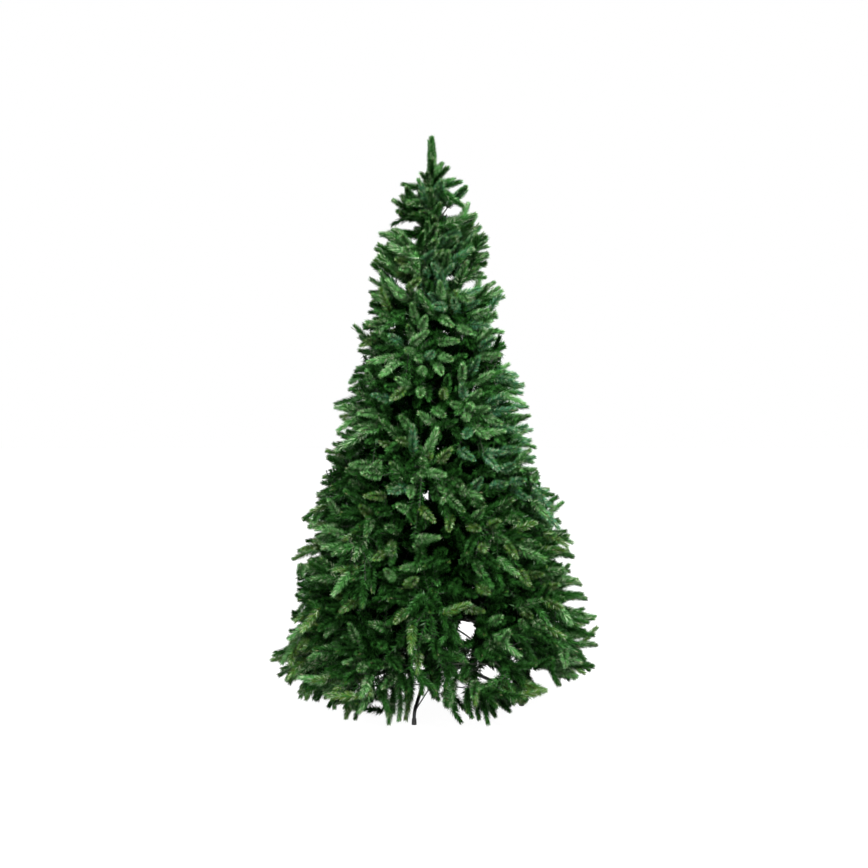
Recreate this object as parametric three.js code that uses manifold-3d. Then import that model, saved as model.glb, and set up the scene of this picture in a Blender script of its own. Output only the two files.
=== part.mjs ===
// A tall artificial spruce: a steel pole in three sleeved sections, tiers of wire boughs hinged to
// collars on the pole, fans of needled tips along each bough, and a four-legged folding stand.
// Millimetres, +Z up. The origin is on the pole's axis at floor level, and the front looks along -Y.
import * as THREE from "three";
import { mergeVertices } from "three/addons/utils/BufferGeometryUtils.js";
import Module from "manifold-3d";

const wasm = await Module();
wasm.setup();

// The crown as a whole
const TREE_HEIGHT = 2400;
const CROWN_RADIUS = 700; // the furthest tips, at CROWN_WIDEST above the floor
const CROWN_WIDEST = 170;
const CROWN_TAPER = 0.2515; // radius lost for each millimetre of height above the widest place
const SKIRT_TAPER = 0.9; // radius lost for each millimetre of height below it
const FLOOR_GAP = 22; // the lowest tips hang this far above the floor
const STAND_ROOM = { radius: 425, height: 235 }; // kept free of tips, round the legs
const SEED = 4616;

// Tiers of boughs, counted from the lowest
const BOUGHS_PER_TIER = [6, 6, 5, 5, 4, 4, 4, 3, 3];
const FIRST_COLLAR = 345;
const COLLAR_STEP = 224;
const COLLAR_STEP_LOSS = 2.2; // each step up is shorter, by this times the square of the tier
const FIRST_TURN = -60; // degrees: where the lowest tier's first bough points
const TIER_TURN = 0.5; // each tier is turned by this share of its own spacing
const ROOT_RISE = { lowest: 3, each: 3.4 }; // degrees above level at the collar
const END_DROP = { lowest: 165, each: 45 }; // the bough's end lies this far below its root
const STEEP = [[0.46, 46], [0.5, -46], [0.62, 30]]; // place on the bough and lift of the fans above and below it
const LOW_STEEP = [[0.5, 40], [0.68, -52], [0.64, 26]]; // the same on the lowest tier
const SMALL_TIERS = 6; // from this tier up a bough carries fewer fans
const OWN_LIMB_TIERS = 1; // tiers whose bare inner bough is a piece of its own
const SWAY = 0.05; // a bough's end swings sideways by up to this share of its reach
const LIMB_REACH = 190; // where such a bough meets its foliage

// Boughs, fans and tips
const WIRE = { root: 5.5, end: 4.2 }; // radii of a bare bough
const STEM = { neck: 8, end: 5, sides: 3 }; // radii of the needled wire that the fans stand on
const STEM_STEPS = 1;
const SPACE_MARGIN = 5; // a fan stays this far inside the space of its own mass
const POLE_ROOM = 70; // no foliage nearer to the pole's axis
const CROWN_ROOM = 90; // the top tier's foliage stays this near to its boughs, clear of the leader
const FAN = { length: 265, least: 115, root: 2.5, stalk: 26, stalkMost: 150, pairTwo: 175, width: 0.47, web: 0.12, rib: 14 };
const CORE = { from: 0.26, to: 0.86, sides: 5, fill: 0.66, ends: [0.35, 0.9, 1, 0.4], valley: 0.62 };
const FINGER_ANGLE = THREE.MathUtils.degToRad(44);
const TIP = { length: 118, radius: 23 };
const POLE_TOP = 2150;
const CLEAR = 0.3; // between pieces that meet

// Pole sections: outer radius, wall and the height where each starts
const WALL = 1.5;
const POLE = [
  { name: "pole_lower", radius: 16, from: 54.3, to: 880 },
  { name: "pole_middle", radius: 14.2, from: 880, to: 1700 },
  { name: "pole_upper", radius: 12.4, from: 1700, to: POLE_TOP },
];
const SLEEVE_DEPTH = 60;
const SEAT_RING = 6;
const COLLAR = { radius: 28, height: 22 };
const POLE_SIDES = 8;

// The stand
const SOCKET = { inner: 17, outer: 20, floor: 48, thick: 6, top: 318 };
const SHOULDER = { z: 192, radius: 30, height: 16 }; // ring that carries the legs
const HEEL = { z: 72, radius: 27, height: 12 }; // ring that carries the braces
const LEG_COUNT = 4;
const LEG_TURN = -100.6; // degrees: the first leg points to the front, a little to the left
const LEG_RADIUS = 7;
const FOOT_REACH = 380;
const BEND = { z: 47, radius: 26 };
const CAP = { radius: 10, height: 24 };
const BRACE = { radius: 2.6, inset: 34 };
const SCREW = { radius: 4, length: 26, z: 290, knob: 9 };

const radians = THREE.MathUtils.degToRad;
const lerp = THREE.MathUtils.lerp;

// Finishes
const steel = new THREE.MeshStandardMaterial({ color: 0x15181a, roughness: 0.45, metalness: 0.6 });
const paint = new THREE.MeshStandardMaterial({ color: 0x1d3a22, roughness: 0.55, metalness: 0.3 });
const wire = new THREE.MeshStandardMaterial({ color: 0x2c2a1c, roughness: 0.7, metalness: 0.1 });
const needles = new THREE.MeshStandardMaterial({ color: 0x2f5a2c, roughness: 0.6, metalness: 0 });

// A number from 0 to 1 that depends only on the seed and the keys.
function chance(...keys) {
  let h = SEED;
  for (const key of keys) {
    h = Math.imul(h ^ (key + 1), 2654435761) >>> 0;
    h = (h ^ (h >>> 15)) >>> 0;
  }
  h = Math.imul(h, 2246822519) >>> 0;
  return ((h ^ (h >>> 13)) >>> 0) / 4294967296;
}

function either(spread, ...keys) {
  return spread * (2 * chance(...keys) - 1);
}

function crownRadius(z) {
  if (z < CROWN_WIDEST) return CROWN_RADIUS - SKIRT_TAPER * (CROWN_WIDEST - z);
  return CROWN_RADIUS - CROWN_TAPER * (z - CROWN_WIDEST);
}

function collarHeight(tier) {
  return FIRST_COLLAR + COLLAR_STEP * tier - COLLAR_STEP_LOSS * tier * tier;
}

function endDrop(tier) {
  return END_DROP.lowest - END_DROP.each * Math.min(tier, 6) - 12 * Math.max(tier - 6, 0);
}

function tierReach(tier) {
  return crownRadius(collarHeight(tier) - endDrop(tier));
}

// Height of a tier's boughs at a distance r from the pole's axis: they leave the collar rising, and arch down.
function boughHeight(tier, r) {
  const reach = tierReach(tier);
  const climb = Math.tan(radians(ROOT_RISE.lowest + ROOT_RISE.each * tier)) * reach;
  const s = r / reach;
  return collarHeight(tier) + climb * s - (climb + endDrop(tier)) * s * s;
}

function boughTurn(tier, bough) {
  return ((2 * Math.PI) / BOUGHS_PER_TIER[tier]) * (bough + TIER_TURN * tier) + radians(FIRST_TURN);
}

// How far a bough has swung sideways at a distance r from the pole's axis.
function boughSway(tier, bough, r) {
  const reach = tierReach(tier);
  return either(SWAY * reach, tier, bough, 91) * (r / reach) ** 2;
}

// Distance from a place in the crown to a bough, measured on the cylinder of radius r round the pole.
function distanceTo(tier, bough, r, angle, z) {
  const arc = r * (angle - boughTurn(tier, bough)) - boughSway(tier, bough, r);
  const round = 2 * Math.PI * r;
  return Math.hypot(arc - round * Math.round(arc / round), z - boughHeight(tier, r));
}

// Whether a point lies in the space that one mass keeps to: the places nearer to its own bough than to any other.
// x runs along the bough and z up from the floor.
function inSpace(tier, bough, p, reachFactor, margin) {
  const r = Math.hypot(p.x, p.y);
  if (r > crownRadius(p.z) * reachFactor || r < POLE_ROOM || p.z < FLOOR_GAP) return false;
  if (tier === 0 && r < STAND_ROOM.radius && p.z < STAND_ROOM.height) return false;
  if (p.z > boughHeight(BOUGHS_PER_TIER.length - 1, r) + CROWN_ROOM) return false;
  const angle = Math.atan2(p.y, p.x) + boughTurn(tier, bough);
  const own = distanceTo(tier, bough, r, angle, p.z) + 2 * margin;
  for (let t = Math.max(tier - 2, 0); t <= Math.min(tier + 2, BOUGHS_PER_TIER.length - 1); t++)
    for (let b = 0; b < BOUGHS_PER_TIER[t]; b++)
      if ((t !== tier || b !== bough) && distanceTo(t, b, r, angle, p.z) < own) return false;
  return true;
}

function solidOf(geometry) {
  const bare = geometry.clone();
  bare.deleteAttribute("normal");
  bare.deleteAttribute("uv");
  const merged = mergeVertices(bare, 1e-4);
  return new wasm.Manifold(
    new wasm.Mesh({
      numProp: 3,
      vertProperties: new Float32Array(merged.attributes.position.array),
      triVerts: new Uint32Array(merged.index.array),
    }),
  );
}

function geometryOf(points, faces) {
  const geometry = new THREE.BufferGeometry().setFromPoints(points);
  geometry.setIndex(faces.flat());
  return geometry;
}

// The largest body of a union, so that a loose scrap or a sealed hollow is left out.
function fused(solids) {
  const bodies = wasm.Manifold.union(solids).decompose();
  return bodies.sort((a, b) => b.volume() - a.volume())[0].simplify(0.5);
}

function meshOf(solid, name, material) {
  const { numProp, vertProperties, triVerts } = solid.getMesh();
  const position = new Float32Array((vertProperties.length / numProp) * 3);
  for (let i = 0; i < position.length / 3; i++)
    position.set(vertProperties.subarray(i * numProp, i * numProp + 3), i * 3);
  const geometry = new THREE.BufferGeometry()
    .setAttribute("position", new THREE.BufferAttribute(position, 3))
    .setIndex(new THREE.BufferAttribute(new Uint32Array(triVerts), 1));
  geometry.computeVertexNormals();
  const mesh = new THREE.Mesh(geometry, material);
  mesh.name = name;
  return mesh;
}

// A tapered limb through points, closed at both ends. With squareEnds its end faces are square to the x axis.
function limbGeometry(points, radii, sides, squareEnds = false) {
  const rings = points.map((p, i) => {
    const ahead = points[Math.min(i + 1, points.length - 1)];
    const behind = points[Math.max(i - 1, 0)];
    const along = ahead.clone().sub(behind).normalize();
    if (squareEnds && (ahead === p || behind === p)) along.set(1, 0, 0);
    const across = new THREE.Vector3(-along.y, along.x, 0);
    if (across.lengthSq() < 1e-6) across.set(0, 1, 0);
    across.normalize();
    const up = along.clone().cross(across);
    return Array.from({ length: sides }, (_, j) => {
      const turn = (2 * Math.PI * j) / sides;
      return p
        .clone()
        .addScaledVector(across, radii[i] * Math.cos(turn))
        .addScaledVector(up, radii[i] * Math.sin(turn));
    });
  });
  const faces = [];
  const at = (ring, j) => ring * sides + (j % sides);
  for (let i = 0; i + 1 < rings.length; i++)
    for (let j = 0; j < sides; j++) {
      faces.push([at(i, j), at(i, j + 1), at(i + 1, j + 1)]);
      faces.push([at(i, j), at(i + 1, j + 1), at(i + 1, j)]);
    }
  for (let j = 1; j + 1 < sides; j++) {
    faces.push([at(0, 0), at(0, j + 1), at(0, j)]);
    faces.push([at(rings.length - 1, 0), at(rings.length - 1, j), at(rings.length - 1, j + 1)]);
  }
  return geometryOf(rings.flat(), faces);
}

// The outline of a fan of tips on a stalk: pairs of fingers along a spine and one at its end.
// x runs along the spine and y across. Each finger is one needled tip.
function fanOutline(length, stalk, pairs) {
  const blade = length - stalk;
  const step = (blade * 0.66) / pairs;
  const side = [[0, FAN.root], [stalk, 4]];
  for (let i = 0; i < pairs; i++) {
    const base = stalk + i * step;
    const finger = blade * FAN.width * (1 - 0.14 * i);
    side.push([base + 0.4 * step + finger * Math.cos(FINGER_ANGLE), finger * Math.sin(FINGER_ANGLE)]);
    side.push([base + step * 0.9, blade * FAN.web]);
  }
  return { side, tip: length };
}

// A fan as a closed solid: flat below, with a roof that is highest along its rib and thin at its edges.
function fanGeometry(length, stalk, pairs) {
  const { side, tip } = fanOutline(length, stalk, pairs);
  const points = [];
  const faces = [];
  const put = (x, y, z) => points.push(new THREE.Vector3(x, y, z)) - 1;
  const rims = [1, -1].map((sign) => side.map(([x, y]) => put(x, sign * y, 0)));
  const end = put(tip, 0, 0);
  const rib = [put(0, 0, FAN.root)];
  for (let i = 0; i < pairs; i++)
    rib.push(put(stalk + ((i + 0.5) * (length - stalk) * 0.66) / pairs, 0, FAN.rib * (1 - (0.4 * i) / (pairs + 1))));
  rims.forEach((rim, hand) => {
    const add = (a, b, c) => faces.push(hand ? [a, c, b] : [a, b, c]);
    add(rib[0], rib[1], rim[0]);
    add(rib[1], rim[1], rim[0]);
    for (let i = 0; i < pairs; i++) {
      const [rear, finger, front] = rim.slice(2 * i + 1, 2 * i + 4);
      add(rib[i + 1], finger, rear);
      add(rib[i + 1], front, finger);
      add(rib[i + 1], i + 1 < pairs ? rib[i + 2] : end, front);
      add(rear, finger, front);
    }
  });
  const [left, right] = rims;
  const spine = [0, ...Array.from({ length: pairs + 1 }, (_, i) => 2 * i + 1)];
  for (let i = 0; i + 1 < spine.length; i++) {
    const [near, far] = [spine[i], spine[i + 1]];
    faces.push([left[near], left[far], right[far]], [left[near], right[far], right[near]]);
  }
  faces.push([left[2 * pairs + 1], end, right[2 * pairs + 1]], [rib[0], left[0], right[0]]);
  return geometryOf(points, faces);
}

// A slim single tip, as a four-sided spindle.
function tipGeometry(length, radius) {
  const at = (x) => new THREE.Vector3(x, 0, 0);
  return limbGeometry(
    [at(0), at(0.3 * length), at(length)],
    [5, radius, 1.2],
    4,
  );
}

// The frame of a shoot: its first axis along direction, its third axis turned by roll from the vertical.
function shootFrame(root, direction, roll) {
  const along = direction.clone().normalize();
  const across = new THREE.Vector3(-along.y, along.x, 0).normalize();
  const up = along.clone().cross(across).applyAxisAngle(along, roll);
  return new THREE.Matrix4().makeBasis(along, up.clone().cross(along), up).setPosition(root);
}

// Where a bough's wire runs. s goes from 0 on the pole's axis to 1 at the bough's reach.
function boughPoint(tier, bough, s) {
  const r = tierReach(tier) * s;
  return new THREE.Vector3(r, boughSway(tier, bough, r), boughHeight(tier, r));
}

// Every shoot that a bough of a tier may carry: its place on the bough, its turn to the side and its lift.
function shootPlan(tier, bough) {
  const small = tier >= SMALL_TIERS;
  const plan = [{ s: 0.66, turn: 0, lift: 0, roll: 75 }];
  const sides = small ? [0.34, 0.5] : [0.3, 0.42, 0.54, 0.66];
  sides.forEach((s, j) => {
    const turn = (j % 2 ? -1 : 1) * (64 - 46 * s + either(6, tier, bough, j, 11));
    const lift = (j % 4 < 2 ? 1 : -1) * 14 + either(12, tier, bough, j, 12);
    plan.push({ s, turn, lift, roll: 90 * chance(tier, bough, j, 14) });
  });
  if (tier === 0) for (const hand of [1, -1]) plan.push({ s: 0.62, turn: 62 * hand, lift: -26, roll: 50 });
  const steep = tier === 0 ? LOW_STEEP : STEEP.slice(0, small ? 2 : 3);
  steep.forEach(([s, lift], j) => {
    const turn = (j % 2 ? 1 : -1) * 16 + either(20, tier, bough, j, 13);
    plan.push({ s, turn, lift, roll: 90 * chance(tier, bough, j, 15) });
  });
  return plan;
}

// How far a shoot can run from root before it leaves its space, up to the longest fan on its longest stalk.
function roomAhead(tier, bough, root, direction, reachFactor) {
  const longest = FAN.length + FAN.stalkMost;
  let free = 0;
  for (let t = 20; t <= longest; t += 5) {
    const p = root.clone().addScaledVector(direction, t);
    if (!inSpace(tier, bough, p, reachFactor, SPACE_MARGIN)) break;
    free = t;
  }
  return free;
}

// Fits one shoot into its space: the longest fan, at the first roll, that stays inside. Null if none does.
function fitShoot(tier, bough, index, shoot, root, forward) {
  const reachFactor = 0.965 + 0.035 * chance(tier, bough, index, 61);
  const direction = forward.clone().applyAxisAngle(new THREE.Vector3(0, 0, 1), radians(shoot.turn));
  const across = new THREE.Vector3(-direction.y, direction.x, 0).normalize();
  direction.applyAxisAngle(across, -radians(shoot.lift));
  const room = roomAhead(tier, bough, root, direction, reachFactor);
  const firstRoll = shoot.roll + either(30, tier, bough, index, 62);
  for (const share of [1, 0.97, 0.94, 0.9, 0.85, 0.8, 0.72])
    for (const more of [0, 30, -30, 60, -60, 90]) {
      const length = room * share;
      if (length < FAN.least) return null;
      const blade = Math.min(length - FAN.stalk, FAN.length * (0.9 + 0.1 * chance(tier, bough, index, 63)));
      const stalk = length - blade;
      const pairs = blade > FAN.pairTwo ? 2 : 1;
      const frame = shootFrame(root, direction, radians(firstRoll + more));
      const { side } = fanOutline(length, stalk, pairs);
      const corners = side.slice(2).flatMap(([x, y]) => [[x, y, 0], [x, -y, 0], [x, 0, FAN.rib]]);
      const fits = corners.every((c) =>
        inSpace(tier, bough, new THREE.Vector3(...c).applyMatrix4(frame), reachFactor, SPACE_MARGIN),
      );
      if (fits) return { length, stalk, pairs, frame };
    }
  return null;
}

// How far the space goes from a point of the bough in a direction across it.
function roomAcross(tier, bough, root, direction) {
  let free = 0;
  for (let t = 8; t <= 400; t += 4) {
    if (!inSpace(tier, bough, root.clone().addScaledVector(direction, t), 1, SPACE_MARGIN)) break;
    free = t;
  }
  return free;
}

// Where along a bough its core begins, clear of a limb that ends at start.
function coreStart(tier, start) {
  return Math.max(CORE.from, (start + 18) / tierReach(tier));
}

// The dense heart of a mass: a faceted lump along the bough, well inside the mass's space.
function coreGeometry(tier, bough, start) {
  const points = [];
  const faces = [];
  const { sides } = CORE;
  const rings = CORE.ends.length;
  for (let i = 0; i < rings; i++) {
    const s = lerp(coreStart(tier, start), CORE.to, i / (rings - 1));
    const root = boughPoint(tier, bough, s);
    for (let j = 0; j < sides; j++) {
      const turn = (2 * Math.PI * (j + 0.5 * (i % 2))) / sides;
      const direction = new THREE.Vector3(0, Math.cos(turn), Math.sin(turn));
      const reach = roomAcross(tier, bough, root, direction) * CORE.fill * CORE.ends[i];
      const uneven = (j % 2 ? CORE.valley : 1) * (1 - 0.24 * chance(tier, bough, i, j, 71));
      points.push(root.clone().addScaledVector(direction, Math.max(reach * uneven, 9)));
    }
  }
  const at = (ring, j) => ring * sides + (j % sides);
  for (let i = 0; i + 1 < rings; i++)
    for (let j = 0; j < sides; j++) {
      const lead = i % 2;
      faces.push([at(i, j), at(i, j + 1), at(i + 1, j + lead)]);
      faces.push([at(i, j + 1 - lead), at(i + 1, j + 1), at(i + 1, j)]);
    }
  for (let j = 1; j + 1 < sides; j++) {
    faces.push([at(0, 0), at(0, j + 1), at(0, j)]);
    faces.push([at(rings - 1, 0), at(rings - 1, j), at(rings - 1, j + 1)]);
  }
  return geometryOf(points, faces);
}

// One mass of foliage, in the frame of its bough: the wire from start to its end, and the fans along it.
function massSolid(tier, bough, start) {
  const reach = tierReach(tier);
  const from = start / reach;
  const stations = Array.from({ length: STEM_STEPS + 1 }, (_, i) => lerp(from, coreStart(tier, start) + 0.06, i / STEM_STEPS));
  const points = stations.map((s) => boughPoint(tier, bough, s));
  const radii = stations.map((s, i) => lerp(STEM.neck, STEM.end, i / STEM_STEPS));
  const solids = [solidOf(limbGeometry(points, radii, STEM.sides, true)), solidOf(coreGeometry(tier, bough, start))];
  shootPlan(tier, bough).forEach((shoot, index) => {
    if (shoot.s * reach < start + 12) return;
    const root = boughPoint(tier, bough, shoot.s);
    const forward = boughPoint(tier, bough, shoot.s + 0.02).sub(root).normalize();
    const fit = fitShoot(tier, bough, index, shoot, root, forward);
    if (fit) solids.push(solidOf(fanGeometry(fit.length, fit.stalk, fit.pairs).applyMatrix4(fit.frame)));
  });
  return fused(solids);
}

// Where a limb that is low to high wide across meets the faceted collar, in the frame of its bough.
function collarFace(tier, bough, low, high) {
  const corner = (k) => {
    const turn = (2 * Math.PI * k) / POLE_SIDES - boughTurn(tier, bough);
    return [COLLAR.radius * Math.cos(turn), COLLAR.radius * Math.sin(turn)];
  };
  let furthest = 0;
  for (let k = 0; k < POLE_SIDES; k++) {
    const [[x0, y0], [x1, y1]] = [corner(k), corner(k + 1)];
    const [from, to] = [Math.max(y0, low), Math.min(y1, high)];
    if (from > to) continue;
    for (const y of [from, to]) furthest = Math.max(furthest, lerp(x0, x1, (y - y0) / (y1 - y0)));
  }
  return furthest + CLEAR;
}

// The bare inner wire of a bough, from the collar to its foliage.
function limbSolid(tier, bough) {
  const reach = tierReach(tier);
  const face = collarFace(tier, bough, -WIRE.root, WIRE.root);
  const stations = [face, 80, 140, LIMB_REACH - CLEAR].map((r) => r / reach);
  const points = stations.map((s) => boughPoint(tier, bough, s));
  return solidOf(limbGeometry(points, stations.map((_, i) => lerp(WIRE.root, WIRE.end, i / 3)), 6, true));
}

// The leader: an upright tip on the pole's end, with shorter tips standing off its foot.
function leaderSolid() {
  const foot = POLE_TOP + CLEAR;
  const stemTop = TREE_HEIGHT - 175;
  const up = new THREE.Vector3(0, 0, 1);
  const stem = limbGeometry([new THREE.Vector3(0, 0, foot), new THREE.Vector3(0, 0, stemTop + 20)], [6, 3], 6);
  const upright = tipGeometry(TREE_HEIGHT - stemTop, TIP.radius - 1);
  upright.applyMatrix4(new THREE.Matrix4().makeRotationY(-Math.PI / 2).setPosition(0, 0, stemTop));
  const solids = [solidOf(stem), solidOf(upright)];
  const count = 7;
  for (let i = 0; i < count; i++) {
    const share = i / (count - 1);
    const lean = radians(lerp(80, 24, share));
    const turn = radians(200 + 137.5 * i);
    const root = new THREE.Vector3(0, 0, lerp(foot + 22, stemTop + 12, share));
    const direction = new THREE.Vector3(Math.sin(lean), 0, Math.cos(lean)).applyAxisAngle(up, turn);
    const tip = tipGeometry(lerp(190, 95, share), TIP.radius - 3);
    solids.push(solidOf(tip.applyMatrix4(shootFrame(root, direction, 0))));
  }
  return fused(solids);
}

// A pole section: a tube with the collars it carries. All but the lowest slide into the one below, down to a ring.
function poleGeometry({ radius, from, to }, index) {
  const top = index === POLE.length - 1;
  const outside = [[radius, from]];
  if (index > 0) {
    const seat = from + CLEAR;
    const ring = POLE[index - 1].radius;
    outside[0][1] = from - SLEEVE_DEPTH;
    outside.push([radius, seat], [ring, seat], [ring, seat + SEAT_RING], [radius, seat + SEAT_RING]);
  }
  BOUGHS_PER_TIER.forEach((_, tier) => {
    const z = boughHeight(tier, COLLAR.radius);
    if (z < from || z > to) return;
    const [low, high] = [z - COLLAR.height / 2, z + COLLAR.height / 2];
    outside.push([radius, low], [COLLAR.radius, low], [COLLAR.radius, high], [radius, high]);
  });
  outside.push([radius, to]);
  const inner = top ? 0 : radius - WALL;
  const profile = [[inner, outside[0][1]], ...outside, [inner, to]];
  if (!top) profile.push(profile[0]);
  return new THREE.LatheGeometry(profile.map(([x, z]) => new THREE.Vector2(x, z)), POLE_SIDES).rotateX(Math.PI / 2);
}

// A round bar, closed at both ends, from one point to another.
function barGeometry(from, to, radius, sides) {
  return limbGeometry([from, to], [radius, radius], sides);
}

// The stand's socket: a cup for the pole, two rings for legs and braces, and a clamping screw.
function socketSolid() {
  const ring = ({ z, radius, height }) => [
    [SOCKET.outer, z - height / 2],
    [radius, z - height / 2],
    [radius, z + height / 2],
    [SOCKET.outer, z + height / 2],
  ];
  const profile = [
    [0, SOCKET.floor],
    [SOCKET.outer, SOCKET.floor],
    ...ring(HEEL),
    ...ring(SHOULDER),
    [SOCKET.outer, SOCKET.top],
    [SOCKET.inner, SOCKET.top],
    [SOCKET.inner, SOCKET.floor + SOCKET.thick],
    [0, SOCKET.floor + SOCKET.thick],
  ];
  const cup = new THREE.LatheGeometry(profile.map(([x, z]) => new THREE.Vector2(x, z)), 12).rotateX(Math.PI / 2);
  const turn = new THREE.Matrix4().makeRotationZ(radians(LEG_TURN + 45));
  const shank = barGeometry(
    new THREE.Vector3(SOCKET.inner + 1, 0, SCREW.z),
    new THREE.Vector3(SOCKET.outer + SCREW.length, 0, SCREW.z),
    SCREW.radius,
    8,
  ).applyMatrix4(turn);
  const knob = barGeometry(
    new THREE.Vector3(SOCKET.outer + SCREW.length - 8, 0, SCREW.z),
    new THREE.Vector3(SOCKET.outer + SCREW.length + 2, 0, SCREW.z),
    SCREW.knob,
    8,
  ).applyMatrix4(turn);
  return fused([solidOf(cup), solidOf(shank), solidOf(knob)]);
}

// A leg in the plane of x and z: a bent tube from the shoulder ring to a capped foot.
function legSolid() {
  const shoulder = new THREE.Vector3(SHOULDER.radius + CLEAR, 0, SHOULDER.z);
  const knee = new THREE.Vector3(FOOT_REACH, 0, BEND.z);
  const down = knee.clone().sub(shoulder).normalize();
  const bend = new THREE.QuadraticBezierCurve3(
    knee.clone().addScaledVector(down, -BEND.radius),
    knee,
    knee.clone().setZ(BEND.z - BEND.radius),
  );
  const level = shoulder.clone().setX(shoulder.x + 10);
  const points = [shoulder, level, ...bend.getPoints(3), new THREE.Vector3(FOOT_REACH, 0, 4)];
  const tube = limbGeometry(points, points.map(() => LEG_RADIUS), 6);
  const cap = new THREE.CylinderGeometry(CAP.radius - 1.5, CAP.radius, CAP.height, 12)
    .rotateX(Math.PI / 2)
    .translate(FOOT_REACH, 0, CAP.height / 2);
  return fused([solidOf(tube), solidOf(cap)]);
}

// A brace: a thin rod from the heel ring to the underside of the leg near its bend.
function braceSolid() {
  const slope = (SHOULDER.z - BEND.z) / (FOOT_REACH - SHOULDER.radius);
  const x = FOOT_REACH - BRACE.inset;
  const under = BEND.z + slope * BRACE.inset - (LEG_RADIUS + BRACE.radius + CLEAR) * Math.hypot(1, slope);
  const from = new THREE.Vector3(HEEL.radius + CLEAR, 0, HEEL.z);
  return solidOf(barGeometry(from, new THREE.Vector3(x, 0, under), BRACE.radius, 6));
}

function around(mesh, degrees) {
  mesh.rotation.z = radians(degrees);
  return mesh;
}

function buildStand() {
  const stand = new THREE.Group();
  stand.add(meshOf(socketSolid(), "stand_socket", steel));
  for (let i = 0; i < LEG_COUNT; i++) {
    const turn = LEG_TURN + (360 / LEG_COUNT) * i;
    stand.add(around(meshOf(legSolid(), `stand_leg_${i + 1}`, steel), turn));
    stand.add(around(meshOf(braceSolid(), `stand_brace_${i + 1}`, steel), turn));
  }
  return stand;
}

function buildPole() {
  const pole = new THREE.Group();
  POLE.forEach((section, i) => pole.add(meshOf(solidOf(poleGeometry(section, i)), section.name, paint)));
  return pole;
}

function buildCrown() {
  const crown = new THREE.Group();
  BOUGHS_PER_TIER.forEach((count, tier) => {
    const ownLimb = tier < OWN_LIMB_TIERS;
    for (let i = 0; i < count; i++) {
      const turn = THREE.MathUtils.radToDeg(boughTurn(tier, i));
      const label = `t${tier + 1}_${i + 1}`;
      const start = ownLimb ? LIMB_REACH : collarFace(tier, i, -STEM.neck / 2, STEM.neck);
      if (ownLimb) crown.add(around(meshOf(limbSolid(tier, i), `bough_${label}`, wire), turn));
      crown.add(around(meshOf(massSolid(tier, i, start), `foliage_${label}`, needles), turn));
    }
  });
  crown.add(meshOf(leaderSolid(), "foliage_leader", needles));
  return crown;
}

const tree = new THREE.Group();
tree.add(buildStand(), buildPole(), buildCrown());

export default tree;
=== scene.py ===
"""The looks of a tall artificial spruce on a folding steel stand.

The crown is grown again by the rule of the part's source, and carried on to twigs, needled tips and
single needles. The pole, its collars and the stand are modelled in full. Metres, with +Z up and the
front towards -Y.
"""

import itertools
import logging
import math
from collections.abc import Callable, Iterable, Sequence
from dataclasses import dataclass, field, fields
from enum import Enum
from typing import Any

import bpy
import numpy as np
from mathutils import Matrix, Vector


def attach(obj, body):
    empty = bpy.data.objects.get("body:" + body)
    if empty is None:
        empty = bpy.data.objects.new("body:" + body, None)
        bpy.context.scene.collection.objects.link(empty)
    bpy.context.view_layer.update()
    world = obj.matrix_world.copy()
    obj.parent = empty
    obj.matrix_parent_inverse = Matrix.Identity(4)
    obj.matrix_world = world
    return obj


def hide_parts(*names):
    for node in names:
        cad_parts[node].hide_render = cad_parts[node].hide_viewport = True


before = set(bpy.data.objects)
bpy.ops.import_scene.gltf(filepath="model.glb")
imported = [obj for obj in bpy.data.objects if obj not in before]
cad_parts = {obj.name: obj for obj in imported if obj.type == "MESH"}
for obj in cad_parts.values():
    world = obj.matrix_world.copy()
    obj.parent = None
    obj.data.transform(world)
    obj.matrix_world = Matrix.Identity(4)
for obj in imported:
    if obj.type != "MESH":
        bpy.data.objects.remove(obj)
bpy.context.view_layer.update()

log = logging.getLogger("spruce")
Array = np.ndarray
Piece = bpy.types.Object
Pair = tuple[float, float]
Triple = tuple[float, float, float]
MM = 0.001
BODY = "root"
UP = np.array([0.0, 0.0, 1.0])
FOLIAGE = sorted(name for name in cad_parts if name.startswith("foliage_"))
QUARTER_TURN = math.pi / 2
GOLDEN_ANGLE = 2.39996


# Shading


class Value:
    """A number in a shader. Combining it with others adds Math nodes."""

    def __init__(self, shader: "Shader", socket: bpy.types.NodeSocket) -> None:
        """Wraps a socket of a shader's node."""
        self.shader = shader
        self.socket = socket

    def _maths(self, operation: str, first: "Value | float", second: "Value | float") -> "Value":
        """The result of one Math node."""
        node = self.shader.node("ShaderNodeMath", {"operation": operation}, {0: first, 1: second})
        return Value(self.shader, node.outputs[0])

    def __add__(self, other: "Value | float") -> "Value":
        """The sum."""
        return self._maths("ADD", self, other)

    def __radd__(self, other: float) -> "Value":
        """The sum, from the right."""
        return self._maths("ADD", other, self)

    def __mul__(self, other: "Value | float") -> "Value":
        """The product."""
        return self._maths("MULTIPLY", self, other)

    def __pow__(self, other: "Value | float") -> "Value":
        """The power."""
        return self._maths("POWER", self, other)


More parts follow.
